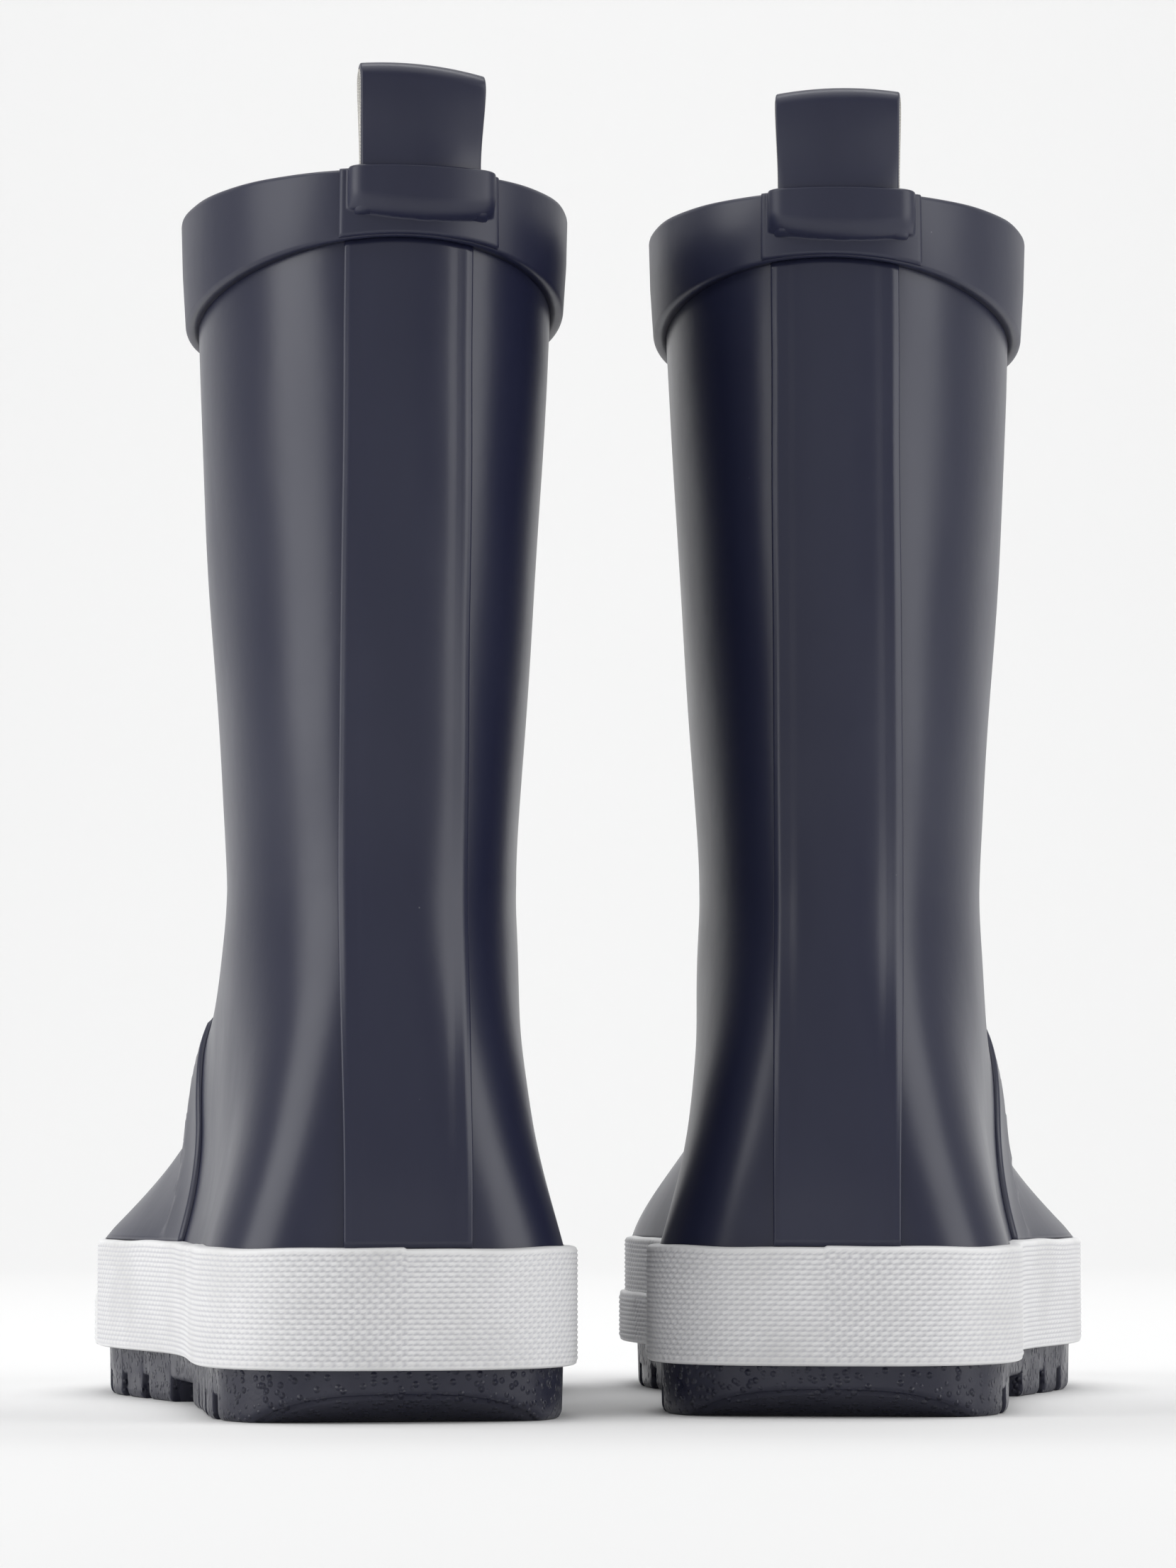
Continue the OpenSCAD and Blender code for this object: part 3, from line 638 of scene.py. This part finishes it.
# The rubber's swell fades out at the foxing and under the collar, so that the edges there stay true
def swell(a, z):
    return softWave(a, z) * ease(z, foxTop + 1, foxTop + 16) * (1 - ease(z, collarLow - 16, collarLow - 2))


# A ring drawn in towards its middle line by shares: p = c + (p - c) * share, c midway between its sides
def drawnIn(ring, shares):
    other = np.roll(ring[::-1], 1, axis=0)
    centre = (ring + other) / 2
    centre[:, 0] = smoothAt(lastMid, centre[:, 1] / boot["footLength"])
    return centre + (ring - centre) * np.asarray(shares, float)[:, None, None]


shell = {
    "columns": 288, "footRows": 84, "shaftRows": 72, "innerRows": 46,
    "puffTop": 0.34, "counterTop": 0.62, "stiffTurn": 67.5,
}


# The rubber leg: outside rows up from the sole, inside rows down, then the margin turned in underfoot
def makeUpper(side):
    a = evenTurns(shell["columns"])
    up = np.concatenate([
        np.linspace(soleTop, foxTop, 4)[:-1],
        np.linspace(foxTop, boot["ankleZ"], shell["footRows"]),
        np.linspace(boot["ankleZ"], shaftTop, shell["shaftRows"])[1:],
    ])
    down = np.concatenate([np.linspace(shaftTop, foxTop, shell["innerRows"]), [soleTop + boot["upperWall"]]])
    outer = wall(a[None], up[:, None], -swell(a[None], up[:, None]))
    inner = wall(a[None], down[:, None], boot["upperWall"] - swell(a[None], down[:, None]))
    low = wall(a, soleTop, 0.0)
    shrink = 1 - np.array([0.12, 0.3])
    over = drawnIn(inner[-1], shrink)
    under = drawnIn(low, [shrink[1], shrink[0]])
    ringPiece(side, "upper", np.concatenate([outer, inner, over, under]))


vamp = {"seamFoot": 88, "seamWaist": 82, "top": 94, "rise": 1.5, "edge": 0.8, "columns": 220, "rows": 90}


# Rubber laid over the fore part. Its edge leaves the foxing at the waist and closes over the instep
# on a curve: turn a0 = aBase + (180 - aBase)(1 - sqrt(1 - w^2)), w = ((z - foot) / (top - foot))^rise.
def makeVamp(side):
    z = foxTop + (vamp["top"] - foxTop) * (1 - (1 - np.linspace(0, 1, vamp["rows"])) ** 1.25)
    z[0] = foxTop
    w = ((z - foxTop) / (vamp["top"] - foxTop)) ** vamp["rise"]
    seam = vamp["seamFoot"] + (vamp["seamWaist"] - vamp["seamFoot"]) * ease(z, foxTop, foxTop + 25)
    base = turnAtY(seam, z)
    start = base + (180 - base) * (1 - np.sqrt(np.clip(1 - w * w, 0, 1)))
    start = np.minimum(start, 178)
    u = edgeSteps(2.0, 0.06, vamp["columns"]) - 1.0
    a = 180 + (180 - start)[:, None] * u[None]
    zz = np.broadcast_to(z[:, None], a.shape)
    skinLine = wall(a, zz, 0.0)
    ends = skinLine[:, :1], skinLine[:, -1:]
    fromEnd = np.minimum(*(np.linalg.norm(skinLine - end, axis=-1) for end in ends))
    fromTop = vamp["top"] - zz + 0.02
    thick = roundEdge(np.minimum(fromEnd, fromTop), 1e3, vamp["edge"])
    wave = swell(a, zz)
    outer = wall(a, zz, -bond - 0.02 - (boot["overlay"] - 0.02) * thick - wave)
    inner = wall(a, zz, -bond - wave)
    slabPiece(side, "vamp_overlay", outer, inner)


collar = {"edge": 1.3, "foot": 0.9, "lip": 8, "columns": 288, "backRise": 4.5, "fall": 12}


# How far the collar's lower edge stands off its level: up at the back, falling as u - u^2/4, u = 1 - cos a
def collarRise(a):
    u = 1 - np.cos(np.radians(a))
    return collar["backRise"] - collar["fall"] * (u - u * u / 4)


# A height on the collar moved with its lower edge, the rim left where it is
def lifted(a, z):
    return z + collarRise(a) * np.clip((rimTop - z) / (rimTop - collarLow), 0, 1)


strip = {
    "edge": 0.5, "bead": 0.14, "beadIn": 1.5, "beadHalf": 0.75, "hollow": 0.08, "hollowIn": 3.6,
    "hollowHalf": 0.9, "columns": 42, "rows": 150, "under": 0.15,
}


# Strip down the back seam, a thin bead along each edge and a slight hollow inside it
def makeStrip(side):
    width = boot["stripWidth"]
    u = edgeSteps(width, strip["edge"], strip["columns"])
    u = np.unique(np.concatenate([u, np.linspace(0.7, 3.4, 12), width - np.linspace(0.7, 3.4, 12)]))
    x = np.broadcast_to(width / 2 - u[None] + stripAt[side], (strip["rows"], len(u)))
    top = collarLow - bond + collarRise(turnAt(x[0], np.full(len(u), collarLow)))
    z = foxTop + (top[None] - foxTop) * np.linspace(0, 1, strip["rows"])[:, None]
    a = turnAt(x, z)
    fromEdge = np.minimum(u, width - u)[None]
    bead = strip["bead"] * np.exp(-(((fromEdge - strip["beadIn"]) / strip["beadHalf"]) ** 2))
    dip = strip["hollow"] * np.exp(-(((fromEdge - strip["hollowIn"]) / strip["hollowHalf"]) ** 2))
    full = 0.1 + (boot["overlay"] - 0.1) * roundEdge(fromEdge, width, strip["edge"])
    d = strip["under"] + full + bead - dip
    wave = swell(a, z)
    slabPiece(side, "back_strip", wall(a, z, -d - wave), wall(a, z, -strip["under"] - wave))


# Round the section of a band: quarter circles between corner points, each given a radius
def roundedLine(corners, radii, steps=5):
    corners = np.asarray(corners, float)
    out = []
    for k, radius in enumerate(radii):
        p, before, after = corners[k], corners[k - 1], corners[(k + 1) % len(corners)]
        if radius <= 0:
            out.append(p[None])
            continue
        u, v = (before - p) / np.linalg.norm(before - p), (after - p) / np.linalg.norm(after - p)
        t = np.linspace(0, 1, steps)[:, None]
        start, end = p + radius * u, p + radius * v
        out.append((1 - t) ** 2 * start + 2 * t * (1 - t) * (p + 0.12 * radius * (u + v)) + t**2 * end)
    return np.concatenate(out)


# Band round the rim: a rounded section carried round the leg, its outside over the shaft's edge
def makeCollar(side):
    t, deep = boot["collarWall"], boot["upperWall"] + bond + boot["liningWall"]
    corners = [
        [-bond, collarLow], [-t, collarLow], [-t, (collarLow + rimTop) / 2],
        [-t, rimTop], [deep + 1.4, rimTop],
        [deep + 1.4, rimTop - collar["lip"]], [deep + bond, rimTop - collar["lip"]],
        [deep + bond, shaftTop + bond], [-bond, shaftTop + bond],
    ]
    line = roundedLine(corners, [0, collar["foot"], 0, collar["edge"], 1.2, 0.5, 0.3, 0, 0], 7)
    a = evenTurns(collar["columns"], 0.15)
    depth, height = line[:, 0, None], line[:, 1, None]
    crown = 0.18 * np.sin(math.pi * ease(height, collarLow, rimTop)) * (depth < -1)
    lumps = 0.10 * np.sin(np.radians(a[None]) * 7 + 1.3) + 0.06 * np.sin(np.radians(a[None]) * 17 + 0.2)
    rim = lumps * (height > rimTop - 3) * (height < rimTop + 1)
    depth = depth - crown - rim * (depth < -1)
    ringPiece(side, "collar_band", wall(a[None], lifted(a[None], height), depth))


loop = {
    "anchorWidth": 23.0, "anchorEdge": 2.4, "anchorRows": 16, "tail": 3.6,
    "baseWidth": 23.4, "topWidth": 24.2, "rubber": 1.1, "webbing": 0.66,
    "topRadius": 2.7, "legGap": 0.9, "curveKept": 0.35, "columns": 26, "edge": 0.35,
    "arch": 0.8, "lean": {"left": 0.85, "right": 0.1},
}
patch = {
    "side": 2.3, "wall": 1.1, "low": 0.4, "swell": 3.65, "smile": 2.6, "sideRun": 3.4, "footRun": 5.2,
    "columns": 80, "rows": 60,
}


# The strap's two tails, side by side on the collar under the patch
def makeAnchor(side):
    width, rows = loop["anchorWidth"], loop["anchorRows"]
    u = edgeSteps(width, loop["anchorEdge"], 14)
    z = np.linspace(tailLow, rimTop - 0.1, rows)[:, None]
    x = np.broadcast_to(width / 2 - u[None] + loopAt[side], (rows, len(u)))
    a = turnAt(x, np.broadcast_to(z, x.shape))
    low = np.clip((z - tailLow) / 2.2, 0.02, 1)
    d = boot["collarWall"] + bond
    full = roundEdge(u, width, loop["anchorEdge"])[None] * np.sqrt(1 - (1 - low) ** 2)
    thick = 0.1 + (loop["tail"] - 0.1) * full
    z = lifted(a, z)
    slabPiece(side, "loop_anchor", wall(a, z, -d - thick), wall(a, z, -d))


# Patch moulded over the tails: flat at its edges, standing out over the strap with a smiling lower edge
def makePatch(side):
    width = boot["loopWidth"] + 2 * patch["side"]
    u = edgeSteps(width, 0.9, patch["columns"])
    v = edgeSteps(rimTop - 0.05 - collarLow - patch["low"], 0.8, patch["rows"])
    z = (collarLow + patch["low"] + v)[:, None]
    x = np.broadcast_to(width / 2 - u[None], (len(v), len(u)))
    a = turnAt(x + loopAt[side], np.broadcast_to(z, x.shape))
    edge = roundEdge(u, width, 0.9)[None] * roundEdge(v, v[-1], 0.8)[:, None]
    fromSide = np.clip((boot["loopWidth"] / 2 + 0.5 - np.abs(x)) / patch["sideRun"], 0, 1)
    foot = tailLow - 1.2 + patch["smile"] * (np.abs(x) / 11.5) ** 2
    fromFoot = np.clip((z - foot) / patch["footRun"], 0, 1)
    rise = np.sqrt(1 - (1 - fromSide) ** 2) * np.sqrt(1 - (1 - fromFoot) ** 2)
    d = boot["collarWall"] + bond
    under = patch["swell"] * rise
    skinUp = under + 0.1 + (patch["wall"] - 0.1) * edge
    z = lifted(a, z)
    slabPiece(side, "collar_patch", wall(a, z, -d - skinUp), wall(a, z, -d - under))


# Side view of the strap's middle line: two legs close together at the rim, opening to a round top
def loopLine():
    topZ = loopTop - loop["rubber"] + 0.2 - loop["topRadius"]
    low = rimTop - 3.0
    z = np.linspace(low, topZ, 26)
    y = loop["legGap"] + (loop["topRadius"] - loop["legGap"]) * ease(z, rimTop + 0.5, topZ)
    t = np.linspace(0, math.pi, 19)[1:-1]
    arc = np.stack([-loop["topRadius"] * np.cos(t), topZ + loop["topRadius"] * np.sin(t)], -1)
    return np.concatenate([np.stack([-y, z], -1), arc, np.stack([y, z], -1)[::-1]])


# One layer of the loop: the line moved outwards by d, carried across the strap's width; it follows
# the collar's curve at the rim and straightens as it rises. Its top is arched and leans to the inner side.
def loopLayer(side, d, across):
    line = loopLine()
    along = np.gradient(line, axis=0)
    out = np.stack([-along[:, 1], along[:, 0]], -1) / np.linalg.norm(along, axis=1, keepdims=True)
    d = np.broadcast_to(d, (len(line), len(across)))
    yz = line[:, None] + out[:, None] * d[..., None]
    up = ease(yz[..., 1], rimTop, loopTop)
    width = loop["baseWidth"] + (loop["topWidth"] - loop["baseWidth"]) * up
    x = across[None] * width + loopAt[side]
    curve = boot["rimDepth"] / 2 * (1 - np.sqrt(1 - (x / boot["rimHalf"]) ** 2))
    y = loopY + yz[..., 0] + curve * (1 - (1 - loop["curveKept"]) * up)
    share = 2 * across[None]
    drop = loop["arch"] * share**2 + loop["lean"][side] * share
    return np.stack([x, y, yz[..., 1] - drop * up], -1)


# The free strap: a rubber layer outside, rounded at its two edges, and the cotton webbing inside it
def makeLoop(side):
    share = edgeSteps(1.0, loop["edge"] / loop["topWidth"], loop["columns"]) - 0.5
    edge = roundEdge(share + 0.5, 1.0, loop["edge"] / loop["topWidth"])[None]
    outer = loopLayer(side, -0.15 + 0.05 + (loop["rubber"] - 0.05) * (0.4 + 0.6 * edge), share)
    inner = loopLayer(side, -0.15, share)
    slabPiece(side, "pull_loop", outer, inner)
    cloth = np.linspace(-0.505, 0.505, 13)
    run = np.concatenate([[0], np.cumsum(np.linalg.norm(np.diff(loopLine(), axis=0), axis=1))])
    uv = np.stack(np.broadcast_arrays(cloth[None] * loop["topWidth"], run[:, None]), -1)
    outer, inner = loopLayer(side, -0.2, cloth), loopLayer(side, -0.2 - loop["webbing"], cloth)
    slabPiece(side, "loop_webbing", outer, inner, uv=uv)


pips = {
    "pitch": 2.2, "row": 0.98, "height": 0.38, "perPitch": 4, "perRow": 3, "edge": 0.6,
    "wander": 0.22, "flat": 0.4, "girth": 540,
}


# Height of the staggered oval pips at place s along and v up the strip
def pipHeight(s, v):
    row = np.floor(v / pips["row"])
    across = (v / pips["row"] - row - 0.5) * 2
    along = ((s / pips["pitch"] + 0.5 * (row % 2)) % 1.0 - 0.5) * 2
    return pips["height"] * np.sqrt(np.clip(1 - np.abs(along) ** 2.4 - 0.8 * np.abs(across) ** 2.2, 0, 1))


# A textured strip round the foot between turns, standing on depth d and as thick as its wall
def bandGrid(a, low, high, d, thick):
    line = wall(a, foxTop, -d - thick)[:, :2]
    s = np.concatenate([[0], np.cumsum(np.linalg.norm(np.diff(line, axis=0), axis=1))])
    step = pips["row"] / pips["perRow"]
    flat = pips["flat"] + pips["edge"]
    height = high - low
    rim = edgeSteps(2 * flat, pips["edge"], 2)[:6]
    body = np.arange(flat, height - flat + step / 2, step)
    v = np.unique(np.round(np.concatenate([rim, body, height - rim[::-1]]), 5))
    t = s[None] * 2 * math.pi
    wander = pips["wander"] * (np.sin(t / 61 + 1) + 0.5 * np.sin(t / 23 + 2)) / 1.5
    z = low + v[:, None] + wander * ease(v[:, None], height * 0.55, height)
    inside = (v[:, None] > flat - 0.01) * (v[:, None] < height - flat + 0.01)
    bump = pipHeight(s[None], v[:, None] - flat) * inside
    corner = roundEdge(v, height, pips["edge"])[:, None]
    depth = -d - 0.25 - (thick - 0.25) * corner - bump + 0.12 * inside
    outer = wall(a[None], foxTop, 0.0) - depth[..., None] * skinOut(a[None], foxTop)
    outer[..., 2] = z
    return outer, z


# Textured strip closed round the foot: the pips outside, a plain wall against the upper inside
def makeFoxing(side):
    count = int(round(pips["girth"] / pips["pitch"])) * pips["perPitch"]
    a = evenTurns(count, 1.0, -boot["foxWall"])
    outer, z = bandGrid(a, soleLow, foxTop, 0.0, boot["foxWall"])
    zIn = np.linspace(foxTop, soleLow, 5)[:, None]
    inner = wall(a[None], foxTop, 0.0 * zIn - bond)
    inner[..., 2] = zIn + (z[-1][None] - foxTop) * (zIn > foxTop - 1)
    ringPiece(side, "foxing", np.concatenate([outer, inner]))


guard = {"start": 62, "end": 152}


# Strip round the lower foxing, from the inner waist round the toe to the outer ball
def makeGuard(side):
    start, end = turnAtY(guard["end"], foxTop), 360 - turnAtY(guard["start"], foxTop)
    count = int(round(pips["girth"] / pips["pitch"])) * pips["perPitch"]
    base = evenTurns(count, 1.0, -boot["foxWall"])
    a = base[(base > start) & (base < end)]
    stand = boot["foxWall"] + bond
    outer, z = bandGrid(a, soleLow, guardTop, stand, boot["guardWall"])
    inner = wall(a[None], foxTop, 0.0 * z - stand)
    inner[..., 2] = z
    along = np.linalg.norm(np.diff(outer[0], axis=0), axis=1)
    s = np.concatenate([[0], np.cumsum(along)])
    taper = roundEdge(s, s[-1], 1.6)[None, :, None]
    shore = wall(a[None], foxTop, 0.0 * z - stand - 0.2)
    shore[..., 2] = z
    outer = shore + (outer - shore) * taper
    slabPiece(side, "toe_guard", outer, inner)


tread = {
    "depth": 4.5, "groove": 4, "pitch": 13, "waistFrom": 0.36, "waistTo": 0.47,
    "bevelLength": 9, "bevelHeight": 5.4, "edge": 1.1, "blockIn": 24.5, "turnShare": 0.14,
}


# Places along the foot where the tread's open bands begin and end: the waist and the forefoot grooves
def grooveEdges():
    length = boot["footLength"]
    spans = [[tread["waistFrom"] * length, tread["waistTo"] * length]]
    for y in np.arange(tread["waistTo"] * length + tread["pitch"], length - 12, tread["pitch"]):
        spans.append([y, y + tread["groove"]])
    heel = [[y, y + tread["groove"]] for y in np.arange(20, tread["waistFrom"] * length - 8, tread["pitch"])]
    return np.array(spans), np.array(heel)


# 1 inside any of the bands, falling to 0 over a short ramp at each end
def bandsAt(bands, y):
    inside = np.zeros(np.shape(y))
    for lo, hi in bands:
        inside = np.maximum(inside, ease(y, lo - 0.15, lo + 0.15) * (1 - ease(y, hi - 0.15, hi + 0.15)))
    return inside


# Height of the sole's underside: 0 on the lugs, the tread's depth in a groove, rising at the heel's bevel
def underside(x, y):
    full, heel = grooveEdges()
    across = bandsAt(full, y)
    atSides = bandsAt(heel, y) * ease(np.abs(x), tread["blockIn"] - 1, tread["blockIn"] + 1)
    bevel = tread["bevelHeight"] * np.clip(1 - y / tread["bevelLength"], 0, 1)
    return np.maximum(tread["depth"] * np.maximum(across, atSides), bevel)


# Outsole: its top, its side down to the tread, and the underside, each row drawn from the outline
def makeOutsole(side):
    full, heel = grooveEdges()
    cuts = np.concatenate([full.ravel(), heel.ravel()])
    cuts = (cuts[:, None] + np.array([-0.2, 0.2])[None]).ravel()
    base = evenTurns(360, 0.9)[:181]
    a = bothSides(np.unique(np.round(np.concatenate([base, turnAtY(cuts, foxTop)]), 4)))
    ring = wall(a, foxTop, 0.0)
    ground = underside(ring[:, 0], ring[:, 1])
    sideRows = []
    turn = tread["turnShare"]
    v = np.concatenate([np.linspace(1, turn, 12), turn * (1 - np.sin(np.linspace(0, math.pi / 2, 7)[1:]))])
    for share in v:
        t = np.clip(1 - share / turn, 0, 1)
        shy = tread["edge"] * (1 - np.sqrt(1 - t * t)) + 0.35 * (1 - share)
        row = wall(a, foxTop, shy)
        row[:, 2] = ground + (soleTop - ground) * share
        sideRows.append(row)
    top = drawnIn(sideRows[0], np.linspace(0, 1, 9)[:-1])
    bottom = drawnIn(sideRows[-1], np.linspace(1, 0, 32)[1:])
    bottom[..., 2] = underside(bottom[..., 0], bottom[..., 1])
    cupPiece(side, "outsole", np.concatenate([top, np.array(sideRows), bottom]))


# A flat piece under the foot: outline at depth d, rounded at its edges, from low to high
def makeFlat(side, node, d, low, high, edge, dish=0.0, share=1.0):
    a = evenTurns(240, 0.9)
    line = wall(a, foxTop, d)
    t = np.linspace(0, math.pi / 2, 5)
    grow = np.concatenate([edge * (1 - np.sin(t)), edge * (1 - np.cos(t))])
    zs = np.concatenate([low + edge * (1 - np.cos(t)), high - edge * (1 - np.sin(t))])
    rows = []
    for g, z in zip(grow, zs):
        row = drawnIn(line, [share * (1 - g / 40)])[0]
        row[:, 2] = z
        rows.append(row)
    rows = np.array(rows)
    bottom = drawnIn(rows[0], np.linspace(0, 1, 12)[:-1])
    top = drawnIn(rows[-1], np.linspace(1, 0, 14)[1:])
    if dish:
        hollow = np.linspace(1, 0, 14)[1:, None]
        top[..., 2] -= dish * (1 - hollow**2) * ease(top[..., 1], 90, 40)
    return cupPiece(side, node, np.concatenate([bottom, rows, top]))


# Depth at which the lining lies: the counter and the puff push it in
def plyDepth(a, z):
    high = foxTop + (boot["ankleZ"] - foxTop) * np.array([shell["counterTop"], shell["puffTop"]])
    heel = 1 - ease(np.minimum(a, 360 - a), shell["stiffTurn"], 73)
    toe = 1 - ease(np.abs(a - 180), shell["stiffTurn"], 73)
    rise = np.maximum(heel * (1 - ease(z, high[0], high[0] + 6)), toe * (1 - ease(z, high[1], high[1] + 5)))
    return boot["upperWall"] + bond + boot["ply"] * rise


# Textile lining: a cup with a bottom, its outside against the rubber and its inside open to the foot
def makeLining(side):
    a = evenTurns(216)
    z = np.concatenate([
        np.linspace(foxTop, boot["ankleZ"], 44), np.linspace(boot["ankleZ"], shaftTop, 40)[1:],
    ])
    low = bedLow - 0.1 - boot["liningWall"]
    out = wall(a[None], z[::3, None], plyDepth(a[None], z[::3, None]) + 0.02)
    ins = wall(a[None], z[::-1, None], plyDepth(a[None], z[::-1, None]) + boot["liningWall"])
    foot = wall(a, low, plyDepth(a, foxTop) + 0.02)
    floorRing = wall(a, low + boot["liningWall"], plyDepth(a, foxTop) + boot["liningWall"])
    cupPiece(side, "lining", np.concatenate([
        drawnIn(foot, np.linspace(0, 1, 9)), out, ins, drawnIn(floorRing, np.linspace(1, 0, 14)),
    ]))


# Stiffener between the rubber and the lining, over a range of turns, from the sole up to its top
def makePly(side, node, turns, top):
    z = np.concatenate([[bedLow - 1.2], np.linspace(foxTop, top, 28)])[:, None]
    a = np.broadcast_to(turns[None], (len(z), len(turns)))
    edge = roundEdge(np.arange(len(turns)) / 2.0, (len(turns) - 1) / 2.0, 1.5)[None]
    edge = edge * np.sqrt(np.clip((top - z + 0.1) / 4, 0, 1))
    thick = 0.05 + (boot["ply"] - 0.1) * np.clip(edge, 0, 1)
    d = boot["upperWall"] + bond
    slabPiece(side, node, wall(a, z, d), wall(a, z, d + thick))


bed = {"gap": 1.5, "coverWall": 0.8, "dish": 0.5, "boardWall": 2, "fillerShare": 0.68}

for side in sides:
    makeUpper(side)
    makeVamp(side)
    makeStrip(side)
    makeCollar(side)
    makeAnchor(side)
    makePatch(side)
    makeLoop(side)
    makeFoxing(side)
    makeGuard(side)
    makeOutsole(side)
    makeLining(side)
    turns = np.linspace(-shell["stiffTurn"], shell["stiffTurn"], 61)
    rise = boot["ankleZ"] - foxTop
    makePly(side, "heel_counter", turns, foxTop + rise * shell["counterTop"])
    makePly(side, "toe_puff", 180 + turns, foxTop + rise * shell["puffTop"])
    margin = soleTop + boot["upperWall"]
    boardTop = margin + bond + bed["boardWall"]
    makeFlat(side, "lasting_board", boot["upperWall"] + 0.1, margin + bond, boardTop, 0.3)
    makeFlat(side, "midsole_filler", 0.0, soleTop + bond, margin, 0.2, share=bed["fillerShare"])
    inset = boot["upperWall"] + bond + boot["ply"] + boot["liningWall"] + bed["gap"]
    coverLow = bedTop - bed["coverWall"]
    foam = makeFlat(side, "footbed_foam", inset, bedLow, coverLow - bond, 0.9, dish=bed["dish"])
    makeFlat(side, "footbed_cover", inset, coverLow, bedTop, 0.35, dish=bed["dish"])
    print("made the", side, "boot")


studio = {
    "backdrop": 0.86, "world": 0.40, "sideSize": (0.9, 1.6), "sidePower": 12.5, "rightShare": 0.8,
    "topPower": 7.6, "frontPower": 1.3, "wallPower": 39,
    "floorHalf": 4.0, "wallAt": 2.6, "wallTop": 4.5, "bendRadius": 1.2,
}


# Floor that turns up into a backdrop behind the boots on a quarter circle, and runs on flat behind the
# camera
def makeFloor():
    reach, bend, top = studio["wallAt"], studio["bendRadius"], studio["wallTop"]
    t = np.linspace(0, math.pi / 2, 24)
    y = np.concatenate([[-3.0], reach - bend + bend * np.sin(t), [reach]])
    z = np.concatenate([[0.0], bend * (1 - np.cos(t)), [top]])
    x = np.array([-studio["floorHalf"], studio["floorHalf"]])
    grid = np.stack(np.broadcast_arrays(x[None], y[:, None], z[:, None]), -1)
    mesh = bpy.data.meshes.new("floor")
    mesh.from_pydata(grid.reshape(-1, 3).tolist(), [], gridFaces(len(y), 2, False, False).tolist())
    mesh.polygons.foreach_set("use_smooth", np.ones(len(mesh.polygons), bool))
    floor = bpy.data.objects.new("floor", mesh)
    bpy.context.scene.collection.objects.link(floor)
    material, tree, shader = newFinish("paper")
    place = objectPlace(tree)
    tone = spread(tree, noiseOn(tree, place, 3, 2), 0.3, 0.7, 0, 1)
    level = studio["backdrop"]
    setColour(tree, shader, mixColours(tree, tone, (level,) * 3, (level * 0.995,) * 3))
    shader.inputs["Roughness"].default_value = 0.9
    shader.inputs["Specular IOR Level"].default_value = 0.1
    mesh.materials.append(material)


# A rectangular lamp at a place, turned to face an aim
def areaLight(name, place, aim, size, power):
    light = bpy.data.lights.new(name, "AREA")
    light.shape = "RECTANGLE"
    light.size, light.size_y = size
    light.energy = power
    lamp = bpy.data.objects.new(name, light)
    bpy.context.scene.collection.objects.link(lamp)
    lamp.location = place
    lamp.rotation_euler = (Vector(aim) - Vector(place)).to_track_quat("-Z", "Y").to_euler()


makeFloor()
world = bpy.data.worlds.new("studio")
bpy.context.scene.world = world
world.use_nodes = True
sky = world.node_tree.nodes["Background"]
sky.inputs["Color"].default_value = (1, 1, 1, 1)
sky.inputs["Strength"].default_value = studio["world"]
middle = (0, 0, 0.12)
areaLight("leftSoft", (-1.35, -0.42, 0.5), middle, studio["sideSize"], studio["sidePower"])
rightPower = studio["rightShare"] * studio["sidePower"]
areaLight("rightSoft", (1.35, -0.42, 0.5), middle, studio["sideSize"], rightPower)
areaLight("frontSoft", (0, -2.0, 0.5), middle, (2.0, 1.4), studio["frontPower"])
areaLight("topSoft", (0, -0.1, 1.7), (0, 0.1, 0), (1.6, 1.6), studio["topPower"])
areaLight("wallSoft", (0, 0.7, 2.6), (0, 2.5, 0.5), (3.5, 0.8), studio["wallPower"])
bpy.context.scene.view_settings.view_transform = "Standard"
print("stage and lights set")

view = {"place": (-0.0012, -1.080, 0.048), "pitch": 4.3, "lens": 117.3}
camera = bpy.data.objects.new("camera", bpy.data.cameras.new("camera"))
bpy.context.scene.collection.objects.link(camera)
camera.location = view["place"]
camera.rotation_euler = (math.radians(90 + view["pitch"]), 0, 0)
camera.data.lens = view["lens"]
camera.data.sensor_width = 36
camera.data.clip_end = 50
camera.data.dof.use_dof = False
bpy.context.scene.camera = camera
